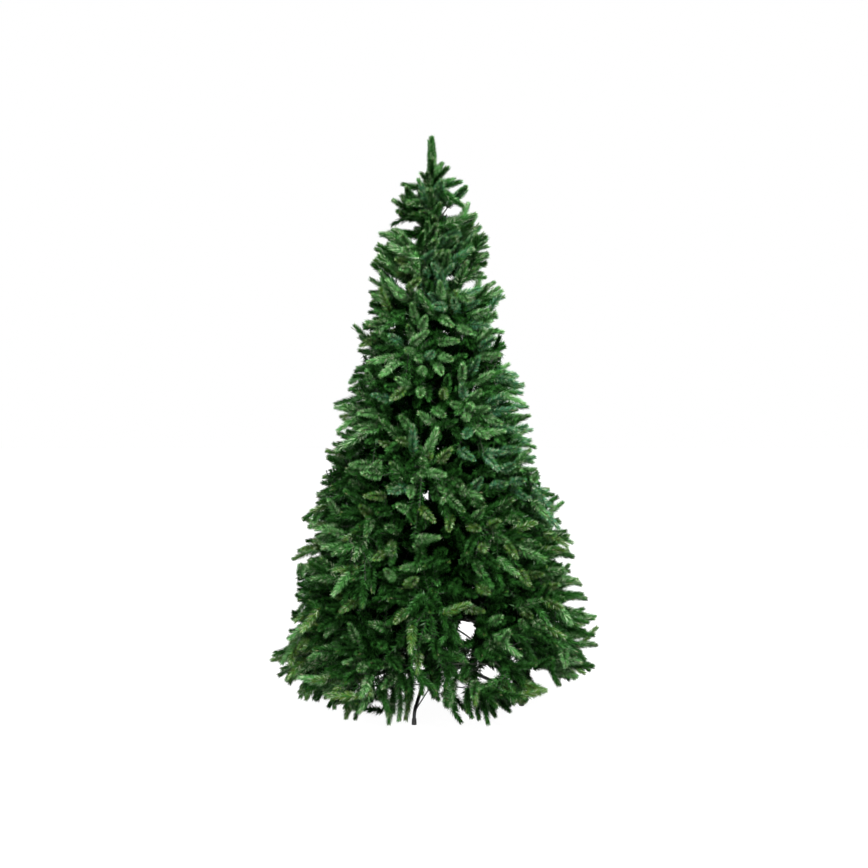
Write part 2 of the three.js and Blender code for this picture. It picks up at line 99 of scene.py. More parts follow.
class Shader:
    """The nodes of one material."""

    def __init__(self, name: str) -> None:
        """Starts a material with the place on the piece and nothing else.

        Args:
            name: the material's name.
        """
        self.material = bpy.data.materials.new(name)
        self.material.use_nodes = True
        self.tree = self.material.node_tree
        self.tree.nodes.clear()
        self.place = self.node("ShaderNodeTexCoord", {}, {}).outputs["Object"]

    def node(self, kind: str, settings: dict[str, str], inputs: dict[str | int, Any]) -> bpy.types.Node:
        """Adds a node.

        Args:
            kind: the node's type.
            settings: its own settings.
            inputs: values or links of its sockets, by name or number.

        Returns:
            The node.
        """
        node = self.tree.nodes.new(kind)
        for key, value in settings.items():
            setattr(node, key, value)
        for key, value in inputs.items():
            if isinstance(value, Value):
                value = value.socket
            if isinstance(value, bpy.types.NodeSocket):
                self.tree.links.new(value, node.inputs[key])
            else:
                node.inputs[key].default_value = value
        return node

    def noise(self, scale: float, detail: float, roughness: float = 0.55) -> Value:
        """A cloudy pattern from 0 to 1, by its scale per metre, its finer layers and their strength."""
        inputs = {"Vector": self.place, "Scale": scale, "Detail": detail, "Roughness": roughness}
        return Value(self, self.node("ShaderNodeTexNoise", {}, inputs).outputs[0])

    def blend(self, amount: Value, low: Sequence[float], high: Sequence[float]) -> bpy.types.NodeSocket:
        """The colour between two, by an amount from 0 to 1."""
        inputs = {0: amount, 6: (*low, 1.0), 7: (*high, 1.0)}
        return self.node("ShaderNodeMix", {"data_type": "RGBA"}, inputs).outputs[2]

    def finish(self, bump: Value | None = None, depth: float = 0.0, **surface: Any) -> bpy.types.Material:
        """Closes the material with one Principled shader.

        Args:
            bump: the height pattern of its relief.
            depth: how deep that is, in metres.
            surface: values or links of the shader's sockets, with _ for a space.

        Returns:
            The material.
        """
        inputs = {key.replace("_", " "): value for key, value in surface.items()}
        if bump is not None:
            relief = {"Height": bump, "Distance": depth, "Strength": 1.0}
            inputs["Normal"] = self.node("ShaderNodeBump", {}, relief).outputs[0]
        skin = self.node("ShaderNodeBsdfPrincipled", {}, inputs)
        self.node("ShaderNodeOutputMaterial", {}, {"Surface": skin.outputs[0]})
        return self.material


@dataclass(frozen=True)
class PaintedSteel:
    """Powder-painted steel tube: a fine orange-peel skin, with its sheen uneven from handling."""

    name: str
    dark: Triple
    light: Triple
    sheen: float = 0.34
    peel_depth: float = 0.00012

    def material(self) -> bpy.types.Material:
        """Makes the finish.

        Returns:
            The material.
        """
        shader = Shader(self.name)
        cloud = shader.noise(scale=26.0, detail=4.0)
        peel = shader.noise(scale=900.0, detail=2.0)
        rubbed = shader.noise(scale=140.0, detail=5.0, roughness=0.7) ** 3.0
        colour = shader.blend(cloud * 0.7 + rubbed * 0.8, self.dark, self.light)
        roughness = self.sheen + cloud * 0.18 + rubbed * 0.2
        return shader.finish(peel, self.peel_depth, Base_Color=colour, Roughness=roughness, Metallic=0.25)


@dataclass(frozen=True)
class TapedWire:
    """Steel wire under wound plastic tape."""

    name: str
    dark: Triple
    light: Triple
    grain_depth: float = 0.0002

    def material(self) -> bpy.types.Material:
        """Makes the finish.

        Returns:
            The material.
        """
        shader = Shader(self.name)
        cloud = shader.noise(scale=60.0, detail=4.0)
        grain = shader.noise(scale=700.0, detail=3.0)
        colour = shader.blend(cloud, self.dark, self.light)
        return shader.finish(grain, self.grain_depth, Base_Color=colour, Roughness=0.5 + grain * 0.25)


@dataclass(frozen=True)
class Rubber:
    """The matt black rubber of the foot caps."""

    name: str = "foot_rubber"
    dark: Triple = (0.010, 0.010, 0.010)
    light: Triple = (0.032, 0.032, 0.031)
    grain_depth: float = 0.0001

    def material(self) -> bpy.types.Material:
        """Makes the finish.

        Returns:
            The material.
        """
        shader = Shader(self.name)
        dust = shader.noise(scale=120.0, detail=5.0)
        grain = shader.noise(scale=1200.0, detail=2.0)
        colour = shader.blend(dust, self.dark, self.light)
        return shader.finish(grain, self.grain_depth, Base_Color=colour, Roughness=0.72 + dust * 0.2)


class Green(Enum):
    """The greens of the needles, as base colours dealt out by spray."""

    # Painted shade: a near-black green dealt to tips deep inside the crown, standing in for its shade
    PAINTED_SHADE = (0.0016, 0.0110, 0.0012)
    # Partly a darker tone dealt at random, partly painted shade: dealt to middle and inner tips, low down and
    # at the crown's sides
    DARK = (0.0062, 0.0330, 0.0042)
    FOREST = (0.0178, 0.0800, 0.0128)
    LEAF = (0.0390, 0.1400, 0.0290)
    FRESH = (0.0780, 0.2080, 0.0620)
    COOL = (0.0370, 0.1320, 0.0700)
    # Painted highlight: a pale green dealt to a share of the needles of outer tips, standing in for glints of
    # light
    PAINTED_HIGHLIGHT = (0.3000, 0.3700, 0.2350)
    OLIVE = (0.0570, 0.1080, 0.0140)

    @property
    def number(self) -> int:
        """Its place among the greens."""
        return list(Green).index(self)

    def material(self) -> bpy.types.Material:
        """Makes the soft plastic of the needles in this green, which shines less the deeper it lies.

        Returns:
            The material.
        """
        gloss = {Green.PAINTED_SHADE: 0.02, Green.DARK: 0.1}.get(self, 0.26)
        shader = Shader(f"needles_{self.name.lower()}")
        return shader.finish(Base_Color=(*self.value, 1.0), Roughness=0.4, Specular_IOR_Level=gloss)


# Modelling by hand


def looks_up(face: bpy.types.MeshPolygon) -> bool:
    """Says whether a face looks up."""
    return face.normal.z > 0.9


def looks_up_or_down(face: bpy.types.MeshPolygon) -> bool:
    """Says whether a face is an upright piece's top or underside."""
    return abs(face.normal.z) > 0.9


class Bench:
    """Blender's own modelling tools, used as by hand."""

    @staticmethod
    def clear() -> None:
        """Leaves edit mode, with nothing selected."""
        if bpy.context.object is not None and bpy.context.object.mode != "OBJECT":
            bpy.ops.object.mode_set(mode="OBJECT")
        bpy.ops.object.select_all(action="DESELECT")

    @staticmethod
    def settle(name: str) -> Piece:
        """Names the piece just added, and takes its place, turn and size into its mesh.

        Args:
            name: the piece's name.

        Returns:
            The piece.
        """
        made = bpy.context.object
        made.name = name
        bpy.ops.object.transform_apply(location=True, rotation=True, scale=True)
        return made

    @staticmethod
    def rod(
        name: str,
        radius: float,
        length: float,
        middle: Sequence[float],
        turn: Sequence[float] = (0.0, 0.0, 0.0),
        sides: int = 12,
    ) -> Piece:
        """Adds a cylinder.

        Args:
            name: the piece's name.
            radius: its radius.
            length: its length.
            middle: where its middle is.
            turn: how it is turned from upright.
            sides: how many sides it has.

        Returns:
            The cylinder.
        """
        Bench.clear()
        bpy.ops.mesh.primitive_cylinder_add(
            vertices=sides, radius=radius, depth=length, location=middle, rotation=turn
        )
        return Bench.settle(name)

    @staticmethod
    def upright(name: str, radius: float, low: float, high: float, sides: int) -> Piece:
        """A cylinder on the pole's axis, from one height to another."""
        return Bench.rod(name, radius, high - low, (0, 0, (low + high) / 2), sides=sides)

    @staticmethod
    def block(name: str, middle: Sequence[float], size: Sequence[float]) -> Piece:
        """Adds a block.

        Args:
            name: the piece's name.
            middle: where its middle is.
            size: its size along x, y and z.

        Returns:
            The block.
        """
        Bench.clear()
        bpy.ops.mesh.primitive_cube_add(size=1, location=middle)
        bpy.ops.transform.resize(value=size)
        return Bench.settle(name)

    @staticmethod
    def disc(name: str, radius: float, middle: Sequence[float], turn: Sequence[float], sides: int) -> Piece:
        """Adds a flat disc to draw a piece out from, and selects it in edit mode.

        Args:
            name: the piece's name.
            radius: its radius.
            middle: where its middle is.
            turn: how it is turned from lying flat.
            sides: how many sides it has.

        Returns:
            The disc.
        """
        Bench.clear()
        bpy.ops.mesh.primitive_circle_add(
            vertices=sides, radius=radius, fill_type="NGON", location=middle, rotation=turn
        )
        made = Bench.settle(name)
        bpy.ops.object.mode_set(mode="EDIT")
        bpy.ops.mesh.select_all(action="SELECT")
        return made

    @staticmethod
    def close_skin() -> None:
        """Welds what was drawn out, turns its faces outwards and leaves edit mode."""
        bpy.ops.mesh.select_all(action="SELECT")
        bpy.ops.mesh.remove_doubles(threshold=1e-5)
        bpy.ops.mesh.normals_make_consistent(inside=False)
        bpy.ops.object.mode_set(mode="OBJECT")

    @staticmethod
    def pick(piece: Piece, test: Callable[[bpy.types.MeshPolygon], bool]) -> None:
        """Goes into edit mode with only the faces selected that pass a test.

        Args:
            piece: the object.
            test: says whether a face is selected.
        """
        bpy.context.view_layer.objects.active = piece
        bpy.ops.object.mode_set(mode="EDIT")
        bpy.ops.mesh.select_mode(type="FACE")
        bpy.ops.mesh.select_all(action="DESELECT")
        bpy.ops.object.mode_set(mode="OBJECT")
        for face in piece.data.polygons:
            face.select = test(face)
        bpy.ops.object.mode_set(mode="EDIT")

    @staticmethod
    def pull(x: float, y: float, z: float) -> None:
        """Extrudes what is selected."""
        bpy.ops.mesh.extrude_region_move(TRANSFORM_OT_translate={"value": (x, y, z)})

    @staticmethod
    def round_edges(piece: Piece, width: float, segments: int = 2) -> None:
        """Bevels the sharp edges of a piece and leaves edit mode.

        Args:
            piece: the object.
            width: the bevel's width.
            segments: how many steps it has.
        """
        bpy.context.view_layer.objects.active = piece
        if piece.mode != "EDIT":
            bpy.ops.object.mode_set(mode="EDIT")
        bpy.ops.mesh.select_mode(type="EDGE")
        bpy.ops.mesh.select_all(action="DESELECT")
        bpy.ops.mesh.edges_select_sharp(sharpness=math.radians(40))
        bpy.ops.mesh.bevel(offset=width, segments=segments, affect="EDGES", clamp_overlap=True)
        bpy.ops.object.mode_set(mode="OBJECT")

    @staticmethod
    def hollow(piece: Piece, wall: float, depth: float, edge: float) -> None:
        """Opens a tube from its top, and rounds its edges.

        Args:
            piece: the tube, still solid.
            wall: how thick its wall is.
            depth: how far down it is open.
            edge: the width of its rounded edges.
        """
        Bench.pick(piece, looks_up)
        bpy.ops.mesh.inset(thickness=wall)
        Bench.pull(0, 0, -depth)
        Bench.round_edges(piece, edge)

    @staticmethod
    def smooth(piece: Piece) -> None:
        """Shades a piece smooth, with its sharp edges kept.

        Args:
            piece: the object.
        """
        Bench.clear()
        piece.select_set(True)
        bpy.context.view_layer.objects.active = piece
        bpy.ops.object.shade_smooth_by_angle(angle=math.radians(38))

    @staticmethod
    def copy(piece: Piece, name: str, place: Matrix) -> Piece:
        """Copies a piece with a mesh of its own.

        Args:
            piece: the object to copy.
            name: the copy's name.
            place: where the copy goes, as a matrix for its mesh.

        Returns:
            The copy.
        """
        made = bpy.data.objects.new(name, piece.data.copy())
        made.data.name = name
        made.data.transform(place)
        bpy.context.scene.collection.objects.link(made)
        return made

    @staticmethod
    def join(pieces: Sequence[Piece], name: str) -> Piece:
        """Joins pieces into one.

        Args:
            pieces: the objects.
            name: the name of what comes out.

        Returns:
            The joined object.
        """
        Bench.clear()
        for piece in pieces:
            piece.select_set(True)
        bpy.context.view_layer.objects.active = pieces[0]
        bpy.ops.object.join()
        pieces[0].name = name
        return pieces[0]

    @staticmethod
    def drop(*pieces: Piece) -> None:
        """Removes pattern pieces once their copies are made."""
        for piece in pieces:
            bpy.data.objects.remove(piece)

    @staticmethod
    def array_mesh(name: str, corners: Array, sides: int) -> Piece:
        """Makes one mesh of many loose faces.

        Args:
            name: the piece's name.
            corners: the corners of all faces, in order.
            sides: how many corners a face has.

        Returns:
            The object.
        """
        flat = np.ascontiguousarray(corners.reshape(-1, 3), dtype=np.float32)
        count = len(flat) // sides
        mesh = bpy.data.meshes.new(name)
        mesh.vertices.add(len(flat))
        mesh.vertices.foreach_set("co", flat.ravel())
        mesh.loops.add(len(flat))
        mesh.loops.foreach_set("vertex_index", np.arange(len(flat), dtype=np.int32))
        mesh.polygons.add(count)
        mesh.polygons.foreach_set("loop_start", np.arange(count, dtype=np.int32) * sides)
        mesh.update(calc_edges=True)
        made = bpy.data.objects.new(name, mesh)
        bpy.context.scene.collection.objects.link(made)
        return made


def dress(piece: Piece, material: bpy.types.Material, nodes: Sequence[str]) -> None:
    """Gives a piece its finish and its body, and hides the CAD nodes that it stands for.

    Args:
        piece: the object.
        material: its finish.
        nodes: the CAD nodes that it replaces.
    """
    piece.data.materials.clear()
    piece.data.materials.append(material)
    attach(piece, BODY)
    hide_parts(*nodes)


# The rule that the crown grows by


def lengths(vectors: Array) -> Array:
    """The length of each row."""
    return np.linalg.norm(vectors, axis=1)


def units(vectors: Array, least: float = 0.0) -> Array:
    """Each row at length 1, where it is longer than the least."""
    return vectors / np.maximum(lengths(vectors), least)[:, None]


def unit(v: Array) -> Array:
    """A vector at length 1."""
    return v / np.linalg.norm(v)


def turned(v: Array, axis: Array, angle: float) -> Array:
    """The vector turned about an axis of length 1, by an angle in radians."""
    c, s = math.cos(angle), math.sin(angle)
    return v * c + np.cross(axis, v) * s + axis * (axis @ v) * (1 - c)


def frame_of(direction: Array, roll: float) -> Array:
    """Works out a shoot's frame.

    Args:
        direction: where it points.
        roll: how far it is rolled about that.

    Returns:
        The rows along, across and up.
    """
    along = unit(direction)
    across = unit(np.array([-along[1], along[0], 0.0]))
    up = turned(np.cross(along, across), along, roll)
    return np.array([along, np.cross(up, along), up])


def between(ends: Pair, share: float) -> float:
    """The number at a share of the way from one to another."""
    return ends[0] + (ends[1] - ends[0]) * share


def ramp(values: Array, start: float, width: float) -> Array:
    """A slope from 0 at a start to 1 at a width beyond it. It falls where the width is below 0."""
    return np.clip((values - start) / width, 0, 1)


def hump(values: Array, middle: float, width: float) -> Array:
    """A straight-sided hump: 1 at its middle, and 0 at its width from there."""
    return np.clip(1 - np.abs(values - middle) / width, 0, 1)


def bell(values: Array, width: float) -> Array:
    """A soft hump round 0, which is 1 there."""
    return np.exp(-((values / width) ** 2))


def arch(rows: Array, s: Array) -> Array:
    """The height of boughs, given as rows of all boughs, at shares of their reach."""
    collar, climb, drop = rows[..., 5], rows[..., 6], rows[..., 7]
    return collar + climb * s - (climb + drop) * s * s


def away_from(boughs: Array, r: Array, angle: Array, z: Array) -> Array:
    """How far points lie from boughs, measured across them and upwards.

    Args:
        boughs: the boughs, one a row.
        r: the points' distances from the pole's axis.
        angle: their directions round it.
        z: their heights.

    Returns:
        The distances in millimetres, with a row for each bough.
    """
    rows = boughs[:, None]
    s = r / rows[..., 4]
    arc = r * (angle - rows[..., 2]) - rows[..., 3] * s * s
    ring = 2 * math.pi * np.maximum(r, 1e-6)
    arc -= ring * np.round(arc / ring)
    return np.hypot(arc, z - arch(rows, s))


@dataclass(frozen=True)
class GrowthRule:
    """The seeded rule of the part's source, in millimetres. x runs along a bough, z up from the floor."""

    seed: int = 4616
    mixers: tuple[int, int] = (2654435761, 2246822519)
    word: int = 0xFFFFFFFF
    tree_height: float = 2400.0
    crown_radius_most: float = 700.0
    crown_widest: float = 170.0
    crown_taper: float = 0.2515
    skirt_taper: float = 0.9
    floor_gap: float = 22.0
    stand_room: Pair = (425.0, 235.0)
    boughs_per_tier: tuple[int, ...] = (6, 6, 5, 5, 4, 4, 4, 3, 3)
    first_collar: float = 345.0
    collar_step: float = 224.0
    collar_step_loss: float = 2.2
    first_turn: float = -60.0
    tier_turn: float = 0.5
    root_rise: Pair = (3.0, 3.4)
    end_drop: Pair = (165.0, 45.0)
    top_drop: float = 12.0
    # planned shoots: place along the bough, then turn, lift and roll in degrees
    end_shoot: tuple[float, float, float, float] = (0.66, 0.0, 0.0, 75.0)
    low_shoot: tuple[float, float, float, float] = (0.62, 62.0, -26.0, 50.0)
    side_places: tuple[float, ...] = (0.3, 0.42, 0.54, 0.66)
    small_side_places: tuple[float, ...] = (0.34, 0.5)
    steep: tuple[Pair, ...] = ((0.46, 46), (0.5, -46), (0.62, 30))
    low_steep: tuple[Pair, ...] = ((0.5, 40), (0.68, -52), (0.64, 26))
    # side shoots: turn at the bough's root and how much less at its end, lift, and how far both stray
    side_turn: Pair = (64.0, 46.0)
    side_lift: float = 14.0
    side_strays: Pair = (6.0, 12.0)
    # steep shoots: turn, and how far it strays
    steep_turn: float = 16.0
    steep_stray: float = 20.0
    small_tiers: int = 6
    sway: float = 0.05
    limb_reach: float = 190.0
    shoot_room: float = 12.0
    space_margin: float = 5.0
    pole_room: float = 70.0
    crown_room: float = 90.0
    fan_length: float = 265.0
    fan_least: float = 115.0
    fan_stalk: float = 26.0
    fan_stalk_most: float = 150.0
    fan_rows: float = 0.66
    pair_two: float = 175.0
    finger_share: float = 0.47
    finger_loss: float = 0.14
    finger_angle: float = math.radians(44)
    finger_feet: Pair = (0.15, 0.4)  # where a finger is rooted and where its slope begins, in steps
    notch: Pair = (0.9, 0.12)  # where the fan is narrow: steps along it, and a share of its length across
    rib: float = 14.0
    radius_share: Pair = (0.965, 0.035)  # the least share of the crown's radius that is used, and chance
    fan_share: Pair = (0.9, 0.1)  # the least share of the fan's length, and chance
    roll_stray: float = 30.0
    shrink: tuple[float, ...] = (1, 0.97, 0.94, 0.9, 0.85, 0.8, 0.72)
    rolls: tuple[float, ...] = (0, 30, -30, 60, -60, 90)
    pole_top: float = 2150.0
    collar_radius: float = 28.0

    def chance(self, *keys: int) -> float:
        """A number from 0 to 1 that depends only on the seed and the keys.

        Args:
            keys: whole numbers that say what it is for.

        Returns:
            The number.
        """
        mixed = self.seed
        for key in keys:
            mixed = ((mixed ^ (key + 1)) * self.mixers[0]) & self.word
            mixed ^= mixed >> 15
        mixed = (mixed * self.mixers[1]) & self.word
        return (mixed ^ (mixed >> 13)) / (self.word + 1)

    def either(self, spread: float, *keys: int) -> float:
        """A number from -spread to spread that depends only on the seed and the keys."""
        return spread * (2 * self.chance(*keys) - 1)

    def crown_radius(self, z: Array | float) -> Array | float:
        """The crown's radius at a height, in its skirt and in its cone."""
        most, above = self.crown_radius_most, z - self.crown_widest
        return np.where(above < 0, most + self.skirt_taper * above, most - self.crown_taper * above)

    def collar_height(self, tier: int) -> float:
        """The height where a tier's boughs start."""
        return self.first_collar + self.collar_step * tier - self.collar_step_loss * tier * tier

    def drop(self, tier: int) -> float:
        """How far the end of a tier's bough lies below its root."""
        small = self.small_tiers
        return self.end_drop[0] - self.end_drop[1] * min(tier, small) - self.top_drop * max(tier - small, 0)

    def reach(self, tier: int) -> float:
        """How far a tier's boughs reach from the pole's axis."""
        return float(self.crown_radius(self.collar_height(tier) - self.drop(tier)))

    def climb(self, tier: int) -> float:
        """How far a tier's bough would rise if it kept its first slope."""
        return math.tan(math.radians(self.root_rise[0] + self.root_rise[1] * tier)) * self.reach(tier)

    def height(self, tier: int, r: Array | float) -> Array | float:
        """The height of a tier's boughs at a distance from the pole's axis."""
        s = r / self.reach(tier)
        return self.collar_height(tier) + self.climb(tier) * s - (self.climb(tier) + self.drop(tier)) * s * s

    def ceiling(self, r: Array) -> Array:
        """The height of the top tier's boughs at a distance from the pole's axis."""
        return self.height(len(self.boughs_per_tier) - 1, r)

    def turn(self, tier: int, bough: int) -> float:
        """The direction of a bough round the pole."""
        step = 2 * math.pi / self.boughs_per_tier[tier]
        return step * (bough + self.tier_turn * tier) + math.radians(self.first_turn)

    def end_sway(self, tier: int, bough: int) -> float:
        """How far a bough's end swings sideways."""
        return self.either(self.sway * self.reach(tier), tier, bough, 91)

    def bough_point(self, tier: int, bough: int, s: float) -> Array:
        """The point of a bough's wire in its own frame, with s from 0 on the axis to 1 at its reach."""
        r = self.reach(tier) * s
        return np.array([r, self.end_sway(tier, bough) * s * s, self.height(tier, r)])

    def boughs(self, tiers: Iterable[int]) -> Array:
        """Lists the boughs of some tiers.

        Args:
            tiers: the tiers, from 0.

        Returns:
            One bough a row: tier, bough, turn, end sway, reach, collar height, climb and drop.
        """
        rows = []
        for t in tiers:
            shape = self.reach(t), self.collar_height(t), self.climb(t), self.drop(t)
            for b in range(self.boughs_per_tier[t]):
                rows.append((t, b, self.turn(t, b), self.end_sway(t, b), *shape))
        return np.array(rows)


class Space:
    """The places that one mass keeps to: those nearer to its own bough than to any other."""

    def __init__(self, rule: GrowthRule, tier: int, bough: int) -> None:
        """Lists the boughs near this one.

        Args:
            rule: the rule that the crown grows by.
            tier: the bough's tier, from 0.
            bough: the bough in its tier, from 0.
        """
        self.rule, self.tier, self.bough = rule, tier, bough
        self.rows = rule.boughs(range(max(tier - 2, 0), min(tier + 3, len(rule.boughs_per_tier))))
        self.own = int(np.flatnonzero((self.rows[:, 0] == tier) & (self.rows[:, 1] == bough))[0])

    def holds(self, points: Array, factor: float, margin: float) -> Array:
        """Says which points lie in the space.

        Args:
            points: the points, one a row, in the bough's frame.
            factor: the share of the crown's radius that may be used.
            margin: how far inside the space they have to be.

        Returns:
            One truth value for each point.
        """
        rule = self.rule
        x, y, z = points.T
        r = np.hypot(x, y)
        inside = (r <= rule.crown_radius(z) * factor) & (r >= rule.pole_room) & (z >= rule.floor_gap)
        if self.tier == 0:
            inside &= (r >= rule.stand_room[0]) | (z >= rule.stand_room[1])
        inside &= z <= rule.ceiling(r) + rule.crown_room
        away = away_from(self.rows, r, np.arctan2(y, x) + rule.turn(self.tier, self.bough), z)
        mine = away[self.own] + 2 * margin
        away[self.own] = np.inf
        return inside & (away.min(axis=0) >= mine)


@dataclass
class Shoot:
    """A side shoot of a bough, fitted into its space: a stalk that carries a fan of needled tips."""

    root: Array
    basis: Array  # rows: along, across and up
    length: float
    stalk: float
    pairs: int
    rule: GrowthRule

    @property
    def blade(self) -> float:
        """The length of its fan."""
        return self.length - self.stalk

    @property
    def step(self) -> float:
        """How far apart the pairs of fingers stand."""
        return self.blade * self.rule.fan_rows / self.pairs

    def at(self, x: float, y: float = 0.0, z: float = 0.0) -> Array:
        """A point given along, across and above the shoot."""
        return self.root + np.array([x, y, z]) @ self.basis

    def fingers(self) -> list[Triple]:
        """Works out the fan's fingers.

        Returns:
            For each pair the place of its roots, and along and across of its ends.
        """
        rule, out = self.rule, []
        for i in range(self.pairs):
            base = self.stalk + i * self.step
            finger = self.blade * rule.finger_share * (1 - rule.finger_loss * i)
            x = base + rule.finger_feet[1] * self.step + finger * math.cos(rule.finger_angle)
            y = finger * math.sin(rule.finger_angle)
            out.append((base + rule.finger_feet[0] * self.step, x, y))
        return out

    def corners(self) -> Array:
        """Works out the corners of the fan.

        Returns:
            The points, one a row, in the bough's frame.
        """
        flat = []
        along, across = self.rule.notch
        for i, (_, x, y) in enumerate(self.fingers()):
            flat += [(x, y), (self.stalk + (i + along) * self.step, self.blade * across)]
        local = [corner for x, y in flat for corner in ((x, y, 0), (x, -y, 0), (x, 0, self.rule.rib))]
        return self.root + np.array(local) @ self.basis


class ShootFitter:
    """Fits the shoots of one bough, as the part's source does."""

    def __init__(self, rule: GrowthRule, tier: int, bough: int) -> None:
        """Takes a bough and works out its space."""
        self.rule, self.tier, self.bough = rule, tier, bough
        self.space = Space(rule, tier, bough)

    def plan(self) -> list[tuple[float, float, float, float]]:
        """Lists the shoots that the source gives this bough.

        Returns:
            The place, turn, lift and roll of each.
        """
        rule, tier, bough = self.rule, self.tier, self.bough
        turn_stray, lift_stray = rule.side_strays
        small = tier >= rule.small_tiers
        rows = [rule.end_shoot]
        for j, s in enumerate(rule.small_side_places if small else rule.side_places):
            turn = rule.side_turn[0] - rule.side_turn[1] * s + rule.either(turn_stray, tier, bough, j, 11)
            turn *= -1 if j % 2 else 1
            lift = (1 if j % 4 < 2 else -1) * rule.side_lift
            lift += rule.either(lift_stray, tier, bough, j, 12)
            rows.append((s, turn, lift, 90 * rule.chance(tier, bough, j, 14)))
        if tier == 0:
            place, turn, lift, roll = rule.low_shoot
            rows += [(place, turn, lift, roll), (place, -turn, lift, roll)]
        steep = rule.low_steep if tier == 0 else rule.steep[: 2 if small else 3]
        for j, (s, lift) in enumerate(steep):
            turn = (1 if j % 2 else -1) * rule.steep_turn + rule.either(rule.steep_stray, tier, bough, j, 13)
            rows.append((s, turn, lift, 90 * rule.chance(tier, bough, j, 15)))
        return rows

    def aim(self, forward: Array, turn: float, lift: float) -> Array:
        """Turns a bough's direction into a shoot's.

        Args:
            forward: the bough's direction.
            turn: degrees to the side.
            lift: degrees upwards.

        Returns:
            The direction, at length 1.
        """
        direction = turned(forward, UP, math.radians(turn))
        across = unit(np.array([-direction[1], direction[0], 0.0]))
        return turned(direction, across, -math.radians(lift))

    def room(self, root: Array, direction: Array, factor: float) -> float:
        """Measures how far a shoot can run before it leaves its space.

        Args:
            root: where it starts.
            direction: where it goes.
            factor: the share of the crown's radius that may be used.

        Returns:
            The free length in millimetres.
        """
        steps = np.arange(20.0, self.rule.fan_length + self.rule.fan_stalk_most + 0.1, 5.0)
        holds = self.space.holds(root + steps[:, None] * direction, factor, self.rule.space_margin)
        free = len(steps) if holds.all() else int(np.argmin(holds))
        return float(steps[free - 1]) if free else 0.0

    def fit(self, index: int, row: tuple[float, float, float, float]) -> Shoot | None:
        """Fits one planned shoot.

        Args:
            index: its number in the plan.
            row: its place, turn, lift and roll.

        Returns:
            The shoot, or None if there is no room for one.
        """
        rule, keys = self.rule, (self.tier, self.bough, index)
        s, turn, lift, roll = row
        root = rule.bough_point(self.tier, self.bough, s)
        forward = unit(rule.bough_point(self.tier, self.bough, s + 0.02) - root)
        factor = rule.radius_share[0] + rule.radius_share[1] * rule.chance(*keys, 61)
        direction = self.aim(forward, turn, lift)
        room = self.room(root, direction, factor)
        first = roll + rule.either(rule.roll_stray, *keys, 62)
        longest = rule.fan_length * (rule.fan_share[0] + rule.fan_share[1] * rule.chance(*keys, 63))
        for share in rule.shrink:
            length = room * share
            if length < rule.fan_least:
                return None
            blade = min(length - rule.fan_stalk, longest)
            pairs = 2 if blade > rule.pair_two else 1
            for more in rule.rolls:
                basis = frame_of(direction, math.radians(first + more))
                shoot = Shoot(root, basis, length, length - blade, pairs, rule)
                if self.space.holds(shoot.corners(), factor, rule.space_margin).all():
                    return shoot
        return None


# What the photo's view asks for


